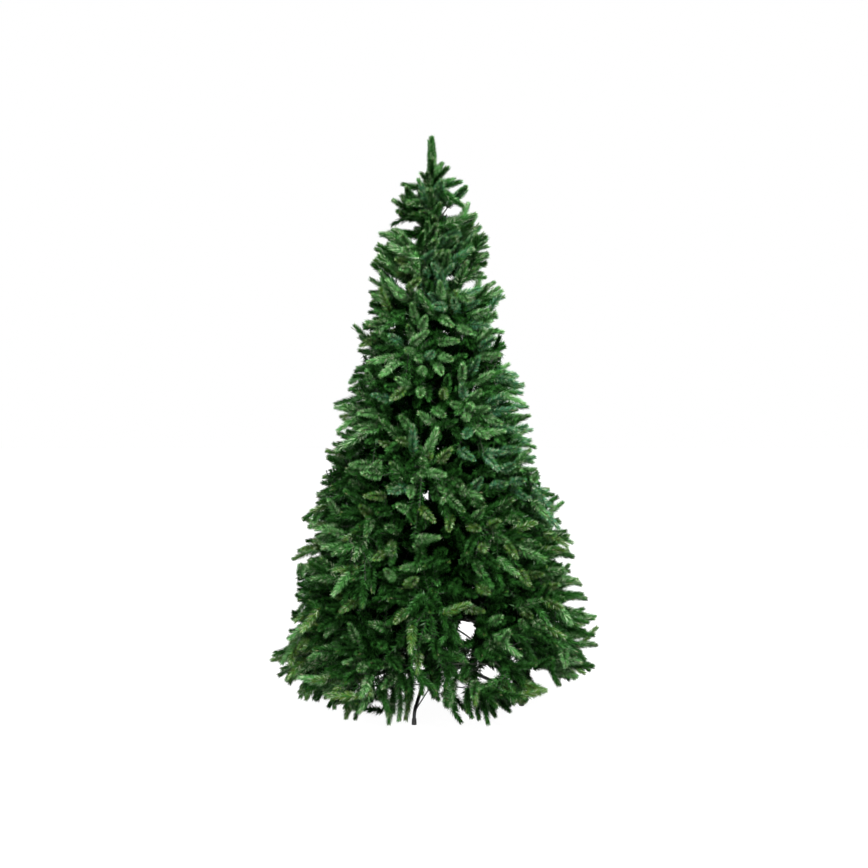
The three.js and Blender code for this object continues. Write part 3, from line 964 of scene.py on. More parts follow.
@dataclass(frozen=True)
class PhotoView:
    """The camera of the photo, and what it sees of the crown's edge, in pixels of an 868 pixel picture."""

    distance: float = 5.0
    height: float = 1.2
    focal: float = 1182.0
    centre: Pair = (432.0, 418.0)
    size: float = 868.0
    slack: float = 1.5
    gap_slack: float = 2.5
    tip_radius: float = 0.019  # how thick a tip is beside a gap, in metres
    wire_radius: float = 0.012
    side_reach: Pair = (40.0, -20.0)  # how far outside and inside the sides tips are moved
    lower_reach: float = 34.0
    # see-through gaps, measured on the photo: left, right, top and bottom
    gaps: tuple[tuple[float, float, float, float], ...] = (
        (459, 474, 621, 638), (510, 515, 655, 662), (478, 500, 670, 677), (456, 464, 688, 693),
        (533, 551, 671, 680), (543, 552, 680, 685), (443, 456, 209, 216), (396, 420, 224, 228),
        (410, 418, 238, 242), (445, 454, 276, 280), (464, 472, 280, 288), (399, 405, 283, 289),
        (424, 430, 493, 500),
    )
    # the crown's left and right side: height in the picture and place across it. A scratch script measured
    # the photo's outline, and these places were picked out of its rows
    left_side: tuple[Pair, ...] = (
        (134, 430), (158, 420), (166, 421), (182, 394), (206, 390), (254, 369), (318, 366), (326, 348),
        (342, 358), (398, 344), (406, 329), (422, 341), (454, 321), (470, 334), (478, 319), (510, 311),
        (518, 299), (534, 310), (558, 290), (574, 297), (646, 284), (654, 268), (670, 268), (686, 289),
        (702, 291), (710, 329), (726, 353),
    )
    right_side: tuple[Pair, ...] = (
        (134, 433), (158, 434), (166, 455), (190, 480), (222, 484), (230, 492), (278, 489), (286, 507),
        (366, 509), (382, 526), (422, 534), (470, 541), (494, 561), (510, 568), (518, 562), (542, 575),
        (574, 578), (590, 588), (622, 598), (646, 600), (654, 587), (670, 597), (686, 567), (702, 529),
        (726, 490),
    )
    # the crown's lower edge, measured on the photo: place across the picture and lowest tip
    edge: tuple[Pair, ...] = (
        (266, 668), (300, 701), (325, 706), (345, 723), (357, 724), (372, 688), (388, 728), (402, 725),
        (411, 702), (444, 701), (455, 729), (490, 730), (514, 711), (548, 698), (600, 673),
    )

    @staticmethod
    def along(line: Sequence[Pair], places: Array) -> Array:
        """The second number of a line of points at places given by the first."""
        return np.interp(places, *np.array(line, float).T)

    def pixels(self, points: Array) -> tuple[Array, Array, Array]:
        """Works out where points fall in the picture.

        Args:
            points: the points, in metres, last axis x, y and z.

        Returns:
            Their places across and down, and pixels for each metre there.
        """
        scale = self.focal / (points[..., 1] + self.distance)
        across = self.centre[0] + scale * points[..., 0]
        return across, self.centre[1] - scale * (points[..., 2] - self.height), scale

    def point(self, across: float, down: float, depth: float) -> Array:
        """Works out the place that is seen at a pixel.

        Args:
            across: the pixel's place across the picture.
            down: its place down the picture.
            depth: how far behind the pole's axis the place is, in metres.

        Returns:
            The place, in metres.
        """
        scale = (depth + self.distance) / self.focal
        x, z = (across - self.centre[0]) * scale, self.height - (down - self.centre[1]) * scale
        return np.array([x, depth, z])

    def allows(self, starts: Array, ends: Array) -> Array:
        """Says which needled tips keep clear of the gaps and inside the crown's edge.

        Args:
            starts: where the tips start.
            ends: where they end.

        Returns:
            One truth value for each tip.
        """
        good = self.misses_gaps(starts, ends, self.tip_radius, (0.1, 0.35, 0.6, 0.82))
        good &= self.misses_gaps(starts, ends, self.wire_radius, (1.0,))
        x, y, _ = self.pixels(ends)
        good &= x >= self.along(self.left_side, y) - self.slack
        good &= x <= self.along(self.right_side, y) + self.slack
        return good & (y <= self.along(self.edge, x) + self.slack)

    def misses_gaps(self, starts: Array, ends: Array, radius: float, shares: Sequence[float]) -> Array:
        """Says which straight pieces leave the see-through gaps open.

        Args:
            starts: where they start.
            ends: where they end.
            radius: how thick they are, in metres.
            shares: where along them this is looked at.

        Returns:
            One truth value for each piece.
        """
        good = np.ones(len(starts), bool)
        for share in shares:
            x, y, scale = self.pixels(starts + (ends - starts) * share)
            for left, right, top, bottom in self.gaps:
                beside = np.maximum(np.maximum(left - x, x - right), 0)
                above = np.maximum(np.maximum(top - y, y - bottom), 0)
                good &= np.hypot(beside, above) > scale * radius - self.gap_slack
        return good

    @staticmethod
    def aside(ends: Array) -> Array:
        """Says which tips end at the sides of the crown, where they make its edge."""
        return np.abs(ends[:, 0]) > 0.94 * np.hypot(ends[:, 0], ends[:, 1])

    def to_edge(self, ends: Array, back: Array) -> Array:
        """Moves the ends of tips at the crown's two sides onto its edge, and the others inside it.

        Args:
            ends: where the tips end.
            back: how far each may stay inside the edge, in pixels.

        Returns:
            The moved ends.
        """
        moved = ends.copy()
        x, y, scale = self.pixels(moved)
        aside = self.aside(ends)
        left, right = self.along(self.left_side, y) + back, self.along(self.right_side, y) - back
        for edge, hand in ((left, -1), (right, 1)):
            over = hand * (x - edge)
            near = (hand * ends[:, 0] > 0) & (over < self.side_reach[0])
            near &= (over > 0) | (aside & (over > self.side_reach[1]))
            moved[near, 0] -= hand * over[near] / scale[near]
        x, y, scale = self.pixels(moved)
        over = y - self.along(self.edge, x)
        near = (over > 0) & (over < self.lower_reach)
        moved[near, 2] += over[near] / scale[near]
        return moved


# The crown


class Kind(Enum):
    """What a needled piece of the crown is: its needles, and how many it has."""

    OUTER = 0
    MIDDLE = 1
    INNER = 2
    STRETCH = 3
    TWIG = 4
    CREST = 5


@dataclass(frozen=True)
class Tip:
    """One needled tip, in metres."""

    start: Array
    end: Array  # where its last needles end
    up: Array  # a direction across it
    root: Array  # where the twig that carries it leaves its bough
    kind: Kind

    @property
    def mark(self) -> Array:
        """The place by which it is kept apart from others."""
        return self.start + (self.end - self.start) * 0.75


@dataclass(frozen=True)
class Sprays:
    """Many needled tips, one a row."""

    starts: Array
    ends: Array
    ups: Array
    roots: Array
    kinds: Array

    @classmethod
    def of(cls, tips: Sequence[Tip]) -> "Sprays":
        """The tips of a list."""
        rows = ((tip.start, tip.end, tip.up, tip.root, tip.kind.value) for tip in tips)
        return cls(*(np.array(column) for column in zip(*rows)))

    @classmethod
    def join(cls, parts: Sequence["Sprays"]) -> "Sprays":
        """Several sets as one."""
        return cls(*(np.concatenate([getattr(part, f.name) for part in parts]) for f in fields(cls)))

    def pick(self, mask: Array) -> "Sprays":
        """The tips that a mask picks."""
        return Sprays(*(getattr(self, f.name)[mask] for f in fields(self)))

    def are(self, kind: Kind) -> Array:
        """Says which tips are of a kind."""
        return self.kinds == kind.value

    @property
    def twigs(self) -> Array:
        """The length of each tip's twig, from its bough to the tip's start."""
        return lengths(self.starts - self.roots)


@dataclass(frozen=True)
class Brush:
    """A needled tip along x: flat needles wound round a wire and swept forwards."""

    count: int
    seed: int
    needle: float = 0.0285
    width: float = 0.0036
    taper: bool = True
    blunt: float = 48.0  # how far the last needles spread, in degrees
    wire: float = 0.0012
    leans: Pair = (54.0, 31.0)  # how far needles lean at the foot, and how much less later
    plain_leans: Pair = (60.0, 9.0)  # lean and spread where there is no taper
    lean_spread: float = 3.5
    twist: float = 0.7
    nose_lean: float = 48.0
    nose_short: float = 0.42  # how much shorter a needle of the nose is that leans that far
    nose_brown: float = 0.42  # the share of olive needles in the nose
    # lots from here to 1.5 take the pale green of painted highlights on most outer tips; those needles are
    # drawn at this share of the width
    highlight_from: float = 0.85
    highlight_width: float = 0.62
    plain_width: float = 1.06

    def needles(self, length: float) -> tuple[Array, Array]:
        """Makes the needles.

        Args:
            length: the tip's length in metres, from its foot to its last needles' ends.

        Returns:
            The three corners of each needle, and its lot: 0 to 1, or 2 for an olive one in the nose.
        """
        random = np.random.default_rng(self.seed)
        t = (np.arange(self.count) + random.uniform(0.0, 1.0, self.count)) / self.count
        nose = np.zeros(self.count, bool)
        round_wire = np.arange(self.count) * GOLDEN_ANGLE + random.normal(0, 0.25, self.count)
        if self.taper:
            t = np.minimum(t * 1.09, 1.0)
            nose = t > 0.999
            stray = random.normal(0, self.lean_spread, self.count)
            lean = np.radians(self.leans[0] - self.leans[1] * t**1.8 + stray)
            lean[nose] = np.radians(self.blunt) * np.sqrt(random.uniform(0, 1, int(nose.sum())))
            long = self.needle * (1.04 - 0.3 * t**2.2 - 0.25 * np.clip(0.15 - t, 0, 1) / 0.15)
            long[nose] *= 1 - self.nose_short * lean[nose] / np.radians(self.nose_lean)
            x = t * (length - self.needle * 0.72)
            x[nose] -= random.uniform(0, 0.5, int(nose.sum())) * self.needle
        else:
            lean = np.radians(self.plain_leans[0] + random.normal(0, self.plain_leans[1], self.count))
            long = np.full(self.count, self.needle)
            x = t * length
        long = long * random.uniform(0.9, 1.06, self.count)
        out = np.stack([np.zeros(self.count), np.cos(round_wire), np.sin(round_wire)], 1)
        along = np.array([1.0, 0.0, 0.0])
        heading = along * np.cos(lean)[:, None] + out * np.sin(lean)[:, None]
        foot = along * x[:, None] + out * self.wire
        flat = units(np.cross(heading, out), 1e-9)
        other = np.cross(heading, flat)
        twist = random.normal(0, self.twist, self.count)
        flat = flat * np.cos(twist)[:, None] + other * np.sin(twist)[:, None]
        lots = np.where(nose & (round_wire % 1 < self.nose_brown), 2.0, random.uniform(0, 1, self.count))
        wide = np.where((lots > self.highlight_from) & (lots < 1.5), self.highlight_width, self.plain_width)
        half = flat * (self.width / 2) * wide[:, None]
        return np.stack([foot - half, foot + half, foot + heading * long[:, None]], 1), lots


# the needles of each kind of tip, with its variants
BRUSHES: dict[Kind, list[Brush]] = {
    Kind.OUTER: [Brush(420, seed, blunt=blunt) for seed, blunt in enumerate((26.0, 32.0, 40.0, 44.0, 48.0))],
    Kind.MIDDLE: [Brush(176, 20 + seed, 0.030, 0.0062) for seed in range(2)],
    Kind.INNER: [Brush(64, 30, 0.036, 0.0146)],
    Kind.STRETCH: [Brush(36, 40, 0.030, 0.0095, False)],
    Kind.TWIG: [Brush(52, 41, 0.023, 0.0070, False)],
    Kind.CREST: [Brush(260, 50)],
}


def shades_of(green: Green, width: float) -> tuple[tuple[float, Green], ...]:
    """Deals the needles of a tip to shades round its own green.

    Args:
        green: the tip's green.
        width: how wide its needles are. Wide ones, which lie deep inside, are dealt fewer shades.

    Returns:
        The shades, each with the lot that it ends at.
    """
    darker, lighter = Green.FOREST, Green.LEAF
    ladder = [Green.DARK, Green.FOREST, Green.LEAF, Green.FRESH]
    if green in ladder:
        step = ladder.index(green)
        darker, lighter = ladder[max(step - 1, 0)], ladder[min(step + 1, len(ladder) - 1)]
    if green is Green.PAINTED_SHADE or width > 0.008:
        return ((3.0, green),)
    if width > 0.005:
        return ((0.3, darker), (0.85, green), (3.0, lighter))
    if green is Green.DARK:
        return ((0.3, darker), (0.74, green), (0.9, Green.FOREST), (1.5, Green.LEAF), (3.0, Green.OLIVE))
    # lots from 0.85 below 1.5 take the pale green of painted highlights
    return ((0.26, darker), (0.67, green), (0.85, lighter), (1.5, Green.PAINTED_HIGHLIGHT), (3.0, Green.OLIVE))


@dataclass(frozen=True)
class Shell:
    """A layer of the crown that is filled with tips wherever it is still open."""

    kind: Kind
    low: float  # shares of the crown's radius
    high: float
    spacing: float  # least distance between tips, in metres
    tries: int
    seed: int
    foot: float = 22.0  # heights above the floor, in millimetres
    head: float = 2230.0
    room: float = 0.0  # how much higher it may reach than the other layers


@dataclass
class Crown:
    """The crown: wire boughs on collars, twigs on the boughs, and needled tips on the twigs."""

    rule: GrowthRule
    photo: PhotoView
    tip_length: float = 0.127
    shells: tuple[Shell, ...] = (
        Shell(Kind.OUTER, 0.96, 1.01, 0.066, 9000, 1),
        Shell(Kind.OUTER, 0.35, 1.0, 0.048, 5000, 6, 1720, 2210, 70),
        Shell(Kind.OUTER, 0.72, 1.0, 0.060, 4000, 7, 22, 330),
        Shell(Kind.MIDDLE, 0.80, 0.92, 0.049, 9000, 2),
        Shell(Kind.INNER, 0.55, 0.76, 0.054, 7000, 3),
        Shell(Kind.INNER, 0.20, 0.52, 0.056, 6000, 4),
        Shell(Kind.INNER, 0.06, 0.22, 0.056, 3000, 5),
    )
    least_apart: float = 0.052
    # planned tips: below this height, in metres, those within these shares of the crown's radius are made
    # inner and middle ones. Then how much a tip's own and the outward direction count, and finger lengths
    plain_below: float = 1.70
    plain_shares: Pair = (0.72, 0.87)
    turn_parts: Pair = (0.75, 0.6)
    finger_range: Pair = (92.0, 124.0)
    # planned tips beyond this share of the radius and below this height have to point outwards this much
    edge_share: float = 0.86
    edge_head: float = 2.3
    edge_outward: float = 0.34
    # the crown's belly: its middle and half height, and how much it adds to the right and to the left
    belly: Pair = (700.0, 380.0)
    bulges: Pair = (0.065, 0.035)
    # filling tips: how far they stay from the pole and above the stand, and how far inside the edge, in
    # pixels. Then the angles of their twigs, how much the twig's direction counts, and how much the outward
    # direction and chance count, each at the crown's sides and elsewhere
    pole_clear: float = 42.0
    stand_clear: float = 20.0
    edge_scatter: float = 14.0
    fork_angles: Pair = (38.0, 66.0)
    twig_part: float = 0.68
    out_parts: Pair = (0.95, 0.72)
    strays: Pair = (0.2, 0.4)
    # their sizes, how much longer they get near the top, where that begins and over what height
    size_range: Pair = (0.92, 1.08)
    top_growth: float = 0.3
    top_rise: Pair = (1750.0, 350.0)
    # how far they have to point outwards anywhere, and to the side where they make its edge above the skirt
    out_least: float = 0.36
    side_least: float = 0.62
    skirt_height: float = 130.0
    depth_reach: Pair = (-0.668, 0.662)  # how far the crown reaches to the front and back
    # how tips lean up or down: heights in millimetres, and degrees
    lean_heights: tuple[float, ...] = (0, 50, 110, 200, 400, 700, 1300, 2100, 2250)
    leans: tuple[float, ...] = (-66, -46, -20, -6, 4, 8, 14, 26, 38)
    leader_tips: int = 18
    # the leader's tips, from the lowest to the highest: leans, lengths, and where they start under the top
    leader_leans: Pair = (82.0, 24.0)
    leader_lengths: Pair = (150.0, 90.0)
    leader_turns: Pair = (200.0, 137.5)  # the first turn, and each further one
    leader_room: float = 163.0
    spire_length: float = 135.0
    spire_tops: tuple[float, ...] = (2285, 2325, 2350, 2370, 2385, 2400, 2400)
    crest_height: float = 1.86
    # a bough's wire: how far before its last shoot's end it stops, and the share of the crown's radius that
    # it keeps within. Its needled skin: where it begins, in millimetres, and the share of the bough where
    # it ends. Stretches farther out than the last share, or off the bough and bare, are left out
    wire_end: float = 60.0
    wire_share: float = 0.8
    skin_first: float = 52.0
    skin_last: float = 0.68
    stretch_share: float = 0.76
    stretch_off: float = 0.004
    # the shortest twig that has a wire, radii of wires at foot and end, and how much of a tip its wire fills
    twig_least: float = 0.006
    twig_radii: Pair = (0.0021, 0.0021 * 0.65)
    tip_radii: Pair = (0.0013, 0.0013 * 0.6)
    tip_wire: float = 0.86
    # a bud's foot, middle and top, measured back from the tip's end, and its radii there
    bud_places: Triple = (0.022, 0.016, 0.004)
    bud_radii: Triple = (0.0007, 0.0021, 0.0007 * 0.3)
    skin_length: float = 0.11
    skin_least: float = 0.035
    piece_most: int = 190000
    floor_gap: float = 0.001
    # single tips at the lower edge: start and end in the photo, and metres behind the pole's axis
    edge_tips: tuple[tuple[float, float, float, float, float], ...] = (
        (517, 682, 549, 690, -0.42), (497, 678, 518, 705, -0.45), (490, 692, 520, 702, -0.40),
        (482, 692, 487, 728, -0.50), (467, 694, 470, 721, -0.50), (447, 698, 462, 726, -0.50),
        (490, 686, 497, 711, -0.42), (546, 658, 560, 688, -0.35), (562, 664, 597, 669, -0.20),
        (500, 690, 472, 698, -0.46), (476, 684, 500, 694, -0.50), (505, 684, 530, 697, -0.36),
        (440, 672, 436, 698, -0.56), (424, 670, 418, 697, -0.56), (455, 678, 450, 704, -0.54),
        (401, 694, 401, 723, -0.50), (391, 698, 388, 727, -0.50), (362, 692, 356, 722, -0.44),
        (350, 694, 346, 721, -0.42), (430, 684, 440, 702, -0.52), (412, 676, 405, 704, -0.54),
        (470, 664, 458, 680, -0.56), (512, 690, 508, 708, -0.40), (474, 694, 480, 722, -0.48),
        (488, 694, 495, 720, -0.46), (500, 666, 524, 681, -0.34), (478, 690, 500, 706, -0.52),
        (520, 642, 538, 664, -0.40), (452, 664, 446, 690, -0.58), (505, 690, 527, 704, -0.45),
        (506, 684, 530, 699, -0.46), (516, 682, 523, 707, -0.44), (502, 656, 512, 682, -0.42),
        (510, 683, 521, 706, -0.30), (521, 682, 526, 704, -0.40), (480, 656, 500, 664, -0.40),
        (515, 664, 524, 690, -0.40), (448, 648, 470, 664, -0.50), (444, 664, 466, 682, -0.52),
        (489, 640, 491, 667, -0.48), (492, 634, 523, 657, -0.50), (520, 654, 533, 668, -0.42),
        (508, 676, 474, 688, -0.48), (510, 681, 480, 694, -0.44), (498, 698, 511, 714, -0.44),
        (508, 684, 524, 707, -0.44), (516, 680, 527, 706, -0.46), (440, 650, 458, 672, -0.46),
        (500, 682, 516, 696, -0.50),
    )
    tips: list[Tip] = field(default_factory=list)
    bough_lines: dict[tuple[int, int], Array] = field(default_factory=dict)

    def __post_init__(self) -> None:
        """Lists all boughs, one a row."""
        self.rows = self.rule.boughs(range(len(self.rule.boughs_per_tier)))

    def world(self, tier: int, bough: int, points: Array) -> Array:
        """Turns points of a bough's frame into the tree's frame.

        Args:
            tier: the tier, from 0.
            bough: the bough in its tier, from 0.
            points: the points, one a row, in millimetres.

        Returns:
            The points in metres.
        """
        turn = self.rule.turn(tier, bough)
        c, s = math.cos(turn), math.sin(turn)
        return points @ np.array([[c, s, 0], [-s, c, 0], [0, 0, 1]]) * MM

    def share(self, points: Array) -> Array:
        """How far out points lie, as a share of the crown's radius at their height."""
        return np.hypot(points[:, 0], points[:, 1]) / MM / self.rule.crown_radius(points[:, 2] / MM)

    def outward(self, azimuth: Array, z: Array) -> Array:
        """Works out where tips lean to: outwards, drooping low down and rising at the top.

        Args:
            azimuth: the direction round the pole.
            z: the height in millimetres.

        Returns:
            The direction, at length 1.
        """
        rise = np.radians(np.interp(z, self.lean_heights, self.leans))
        flat = np.cos(rise)
        return np.stack([np.cos(azimuth) * flat, np.sin(azimuth) * flat, np.sin(rise)], -1)

    def grow(self) -> None:
        """Grows the boughs with their planned shoots, thins them, and fills what is open by shells."""
        for tier, count in enumerate(self.rule.boughs_per_tier):
            for bough in range(count):
                self.grow_bough(tier, bough)
        self.grow_leader()
        planned, self.tips = self.tips, []
        self.grow_edge()
        self.grow_spire()
        self.thin(planned)
        for shell in self.shells:
            before = len(self.tips)
            self.fill(shell)
            log.info("%s shell: %d tips", shell.kind.name.lower(), len(self.tips) - before)

    def grow_bough(self, tier: int, bough: int) -> None:
        """Grows one bough: its wire and its planned shoots.

        Args:
            tier: the tier, from 0.
            bough: the bough in its tier, from 0.
        """
        rule, fitter = self.rule, ShootFitter(self.rule, tier, bough)
        first = (rule.limb_reach if tier == 0 else rule.collar_radius) + rule.shoot_room
        end = None
        for index, row in enumerate(fitter.plan()):
            shoot = fitter.fit(index, row) if row[0] * rule.reach(tier) >= first else None
            if shoot is not None:
                end = shoot if index == 0 else end
                self.dress_shoot(fitter, shoot, index)
        self.run_wire(tier, bough, end)
        self.line_wire(fitter)

    def run_wire(self, tier: int, bough: int, end: Shoot | None) -> None:
        """Notes where a bough's wire runs: along its arc, and on through its last shoot.

        Args:
            tier: the tier, from 0.
            bough: the bough in its tier, from 0.
            end: the bough's last shoot.
        """
        rule = self.rule
        face = (rule.collar_radius + 2.0) / rule.reach(tier)
        points = [rule.bough_point(tier, bough, s) for s in np.linspace(face, rule.end_shoot[0], 26)]
        if end is not None:
            points += [end.at(x) for x in np.linspace(0.1, 1.0, 8) * (end.length - self.wire_end)]
        line = np.array(points)
        inside = np.hypot(line[:, 0], line[:, 1]) < self.wire_share * rule.crown_radius(line[:, 2])
        self.bough_lines[(tier, bough)] = self.world(tier, bough, line[inside])

    def put(self, fitter: ShootFitter, line: tuple[Array, Array], up: Array, kind: Kind, root: Array) -> None:
        """Adds a tip given in its bough's frame. An outer one is turned a little to the outside.

        Args:
            fitter: the bough's fitter.
            line: where the tip starts and ends.
            up: a direction across it.
            kind: what it is. An outer one deep in the crown is made a plainer kind.
            root: where its twig leaves the bough.
        """
        places = self.world(fitter.tier, fitter.bough, np.array([*line, root]))
        across = self.world(fitter.tier, fitter.bough, up[None])[0] / MM
        if kind is Kind.OUTER:
            tip = places[1]
            radius, size = float(np.hypot(tip[0], tip[1])), float(np.linalg.norm(tip - places[0]))
            share = radius / MM / float(self.rule.crown_radius(tip[2] / MM))
            if tip[2] < self.plain_below:
                inner, middle = self.plain_shares
                kind = Kind.INNER if share < inner else Kind.MIDDLE if share < middle else kind
            lean = self.outward(np.arctan2(tip[1], tip[0]), tip[2] / MM)
            heading = unit(self.turn_parts[0] * (tip - places[0]) / size + self.turn_parts[1] * lean)
            places[0] = tip - heading * size
        self.tips.append(Tip(places[0], places[1], across, places[2], kind))

    def dress_shoot(self, fitter: ShootFitter, shoot: Shoot, number: int) -> None:
        """Puts the tips on a shoot: one at its end and one on each finger of its fan.

        Args:
            fitter: the bough's fitter.
            shoot: the shoot.
            number: its number on the bough.
        """
        rule, keys = self.rule, (fitter.tier, fitter.bough, number)
        up, root = shoot.basis[2], shoot.root
        spine = shoot.at(max(shoot.length - self.tip_length / MM, 4.0)), shoot.at(shoot.length)
        across = turned(up, shoot.basis[0], rule.either(3, *keys, 203))
        self.put(fitter, spine, across, Kind.OUTER, root)
        for i, (base, x, y) in enumerate(shoot.fingers()):
            for hand in (1, -1):
                lift = rule.either(34, *keys, i, hand + 1, 201) * y / 60
                arm = shoot.at(x, hand * y, lift) - shoot.at(base)
                size = float(np.clip(np.linalg.norm(arm) * 1.08, *self.finger_range))
                heading = unit(arm)
                across = turned(up, heading, rule.either(3, *keys, i, hand + 1, 204))
                finger = shoot.at(base), shoot.at(base) + heading * size
                self.put(fitter, finger, across, Kind.OUTER, root)
        if shoot.stalk > 50:
            self.put(fitter, (shoot.at(8), shoot.at(shoot.stalk)), up, Kind.STRETCH, root)

    def line_wire(self, fitter: ShootFitter) -> None:
        """Puts a needled skin along the bough's wire itself.

        Args:
            fitter: the bough's fitter.
        """
        rule, tier, bough = self.rule, fitter.tier, fitter.bough
        first = (rule.limb_reach + 8 if tier == 0 else self.skin_first) / rule.reach(tier)
        for s0, s1 in itertools.pairwise(np.linspace(first, self.skin_last, 6)):
            line = rule.bough_point(tier, bough, s0), rule.bough_point(tier, bough, s1)
            self.put(fitter, line, UP, Kind.STRETCH, line[0])

    def thin(self, planned: list[Tip]) -> None:
        """Takes over planned tips, apart from those that lie across the crown's edge or in one another.

        Args:
            planned: the tips.
        """
        marks = np.array([tip.mark for tip in self.tips])
        rows = Sprays.of(planned)
        line = rows.ends - rows.starts
        out = self.outward(np.arctan2(rows.ends[:, 1], rows.ends[:, 0]), rows.ends[:, 2] / MM)
        across = np.einsum("ij,ij->i", line, out) < self.edge_outward * lengths(line)
        radius = np.hypot(rows.ends[:, 0], rows.ends[:, 1]) / MM
        across &= radius > self.edge_share * self.rule.crown_radius(rows.ends[:, 2] / MM)
        across &= rows.ends[:, 2] < self.edge_head
        before = len(self.tips)
        for tip, lies_across in zip(planned, across):
            if tip.kind is not Kind.STRETCH:
                if lies_across or lengths(marks - tip.mark).min() < self.least_apart:
                    continue
                marks = np.vstack([marks, tip.mark])
            self.tips.append(tip)
        log.info("planned tips: %d, kept %d", len(planned), len(self.tips) - before)

    def bulge(self, azimuth: Array, z: Array) -> Array:
        """Works out how much further than the plain cone the crown reaches to the sides.

        Args:
            azimuth: the directions round the pole.
            z: the heights in millimetres.

        Returns:
            The factors.
        """
        belly = hump(z, *self.belly) ** 0.5
        right, left = np.maximum(np.cos(azimuth), 0) ** 2, np.maximum(-np.cos(azimuth), 0) ** 2
        return 1 + self.bulges[0] * right * belly + self.bulges[1] * left * belly

    def spots(self, shell: Shell, random: np.random.Generator) -> tuple[Array, Array, Array]:
        """Draws the places in a shell where tips could end.

        Args:
            shell: the layer.
            random: its random numbers.

        Returns:
            Their directions round the pole, heights and distances from its axis.
        """
        rule, n = self.rule, shell.tries
        azimuth = random.uniform(0, 2 * math.pi, n)
        z = shell.head - (shell.head - shell.foot) * np.sqrt(random.uniform(0, 1, n))
        r = rule.crown_radius(z) * random.uniform(shell.low, shell.high, n) * self.bulge(azimuth, z)
        good = (r > self.pole_clear) & (z < rule.ceiling(r) + (rule.crown_room + shell.room))
        good &= (r > rule.stand_room[0]) | (z > rule.stand_room[1] + self.stand_clear)
        return azimuth[good], z[good], r[good]

    def fill(self, shell: Shell) -> None:
        """Adds tips in a shell wherever it is open, each on a twig from the nearest bough.

        Args:
            shell: the layer to fill.
        """
        random = np.random.default_rng(shell.seed)
        azimuth, z, r = self.spots(shell, random)
        count = len(r)
        away = away_from(self.rows, r, azimuth, z)
        nearest = away.argmin(axis=0)
        near = away[nearest, np.arange(count)]
        ends = np.stack([r * np.cos(azimuth), r * np.sin(azimuth), z], 1) * MM
        if shell.kind is Kind.OUTER:
            ends = self.photo.to_edge(ends, self.edge_scatter * random.uniform(0, 1, count) ** 2)
            ends[:, 1] = np.clip(ends[:, 1], *self.depth_reach)
        forks = np.tan(np.radians(random.uniform(*self.fork_angles, count)))
        roots = self.twig_roots(nearest, r - near / forks, r)
        heading = ends - roots
        heading *= self.twig_part / np.maximum(lengths(heading), 1e-6)[:, None]
        aside = self.photo.aside(ends)
        out = self.outward(azimuth, z)
        stray = random.normal(0, 1, (count, 3)) * np.where(aside, *self.strays)[:, None]
        heading += np.where(aside, *self.out_parts)[:, None] * out + stray
        heading = units(heading)
        sizes = self.tip_length * random.uniform(*self.size_range, count)
        sizes *= 1 + self.top_growth * ramp(z, *self.top_rise)
        starts = ends - heading * sizes[:, None]
        ups = units(np.cross(heading, random.normal(0, 1, (count, 3))))
        free = self.photo.allows(starts, ends)
        free &= self.photo.misses_gaps(roots, starts, self.photo.wire_radius, np.linspace(0, 1, 9))
        sideways = np.sign(ends[:, 0]) * heading[:, 0]
        free &= ~aside | (sideways > self.side_least) | (z < self.skirt_height)
        free &= np.einsum("ij,ij->i", heading, out) > self.out_least
        marks = np.array([tip.mark for tip in self.tips])
        for i in np.flatnonzero(free):
            tip = Tip(starts[i], ends[i], ups[i], roots[i], shell.kind)
            if lengths(marks - tip.mark).min() >= shell.spacing:
                marks = np.vstack([marks, tip.mark])
                self.tips.append(tip)

    def twig_roots(self, boughs: Array, wanted: Array, reached: Array) -> Array:
        """Works out where the twigs of filling tips leave their boughs.

        Args:
            boughs: each tip's bough, as a row of all boughs.
            wanted: how far out along the bough it would best start, in millimetres.
            reached: how far out the tip ends.

        Returns:
            The places, in metres.
        """
        rows = self.rows[boughs]
        tier, _, turn, sway, reach = rows.T[:5]
        least = np.where(tier > 0, 32, 40)
        far = np.maximum(np.minimum(np.minimum(wanted, reached - 96), 0.9 * reach), least)
        s = far / reach
        side = sway * s * s
        x = far * np.cos(turn) - side * np.sin(turn)
        y = far * np.sin(turn) + side * np.cos(turn)
        return np.stack([x, y, arch(rows, s)], 1) * MM

    def grow_leader(self) -> None:
        """Grows the tips round the leader's foot, in a spiral that closes upwards."""
        low, high = self.rule.pole_top + 10, self.rule.tree_height - self.leader_room
        for i in range(self.leader_tips):
            share = i / (self.leader_tips - 1)
            lean = math.radians(between(self.leader_leans, share))
            turn = math.radians(self.leader_turns[0] + self.leader_turns[1] * i)
            side = np.array([-math.sin(turn), math.cos(turn), 0.0])
            heading = np.array([math.sin(lean) * side[1], -math.sin(lean) * side[0], math.cos(lean)])
            start = np.array([0, 0, between((low, high), share)])
            end = start + heading * between(self.leader_lengths, share)
            self.tips.append(Tip(start * MM, end * MM, side, start * MM, Kind.OUTER))

    def grow_spire(self) -> None:
        """Sets the upright tips that make the leader, each overlapping the next."""
        for i, high in enumerate(self.spire_tops):
            across = np.array([math.cos(2.4 * i), math.sin(2.4 * i), 0.0])
            start = np.array([0, 0, high - self.spire_length]) * MM
            self.tips.append(Tip(start, np.array([0, 0, high]) * MM, across, start, Kind.OUTER))

    def grow_edge(self) -> None:
        """Sets the single tips of the lower edge, each on a twig from the nearest low bough."""
        low = np.concatenate([line[8:] for (tier, _), line in self.bough_lines.items() if tier == 0])
        for start_x, start_y, end_x, end_y, depth in self.edge_tips:
            start = self.photo.point(start_x, start_y, depth + 0.03)
            end = self.photo.point(end_x, end_y, depth - 0.03)
            root = low[lengths(low - start).argmin()]
            across = unit(np.cross(end - start, np.array([0.3, 1.0, 0.2])))
            self.tips.append(Tip(start, end, across, root, Kind.OUTER))

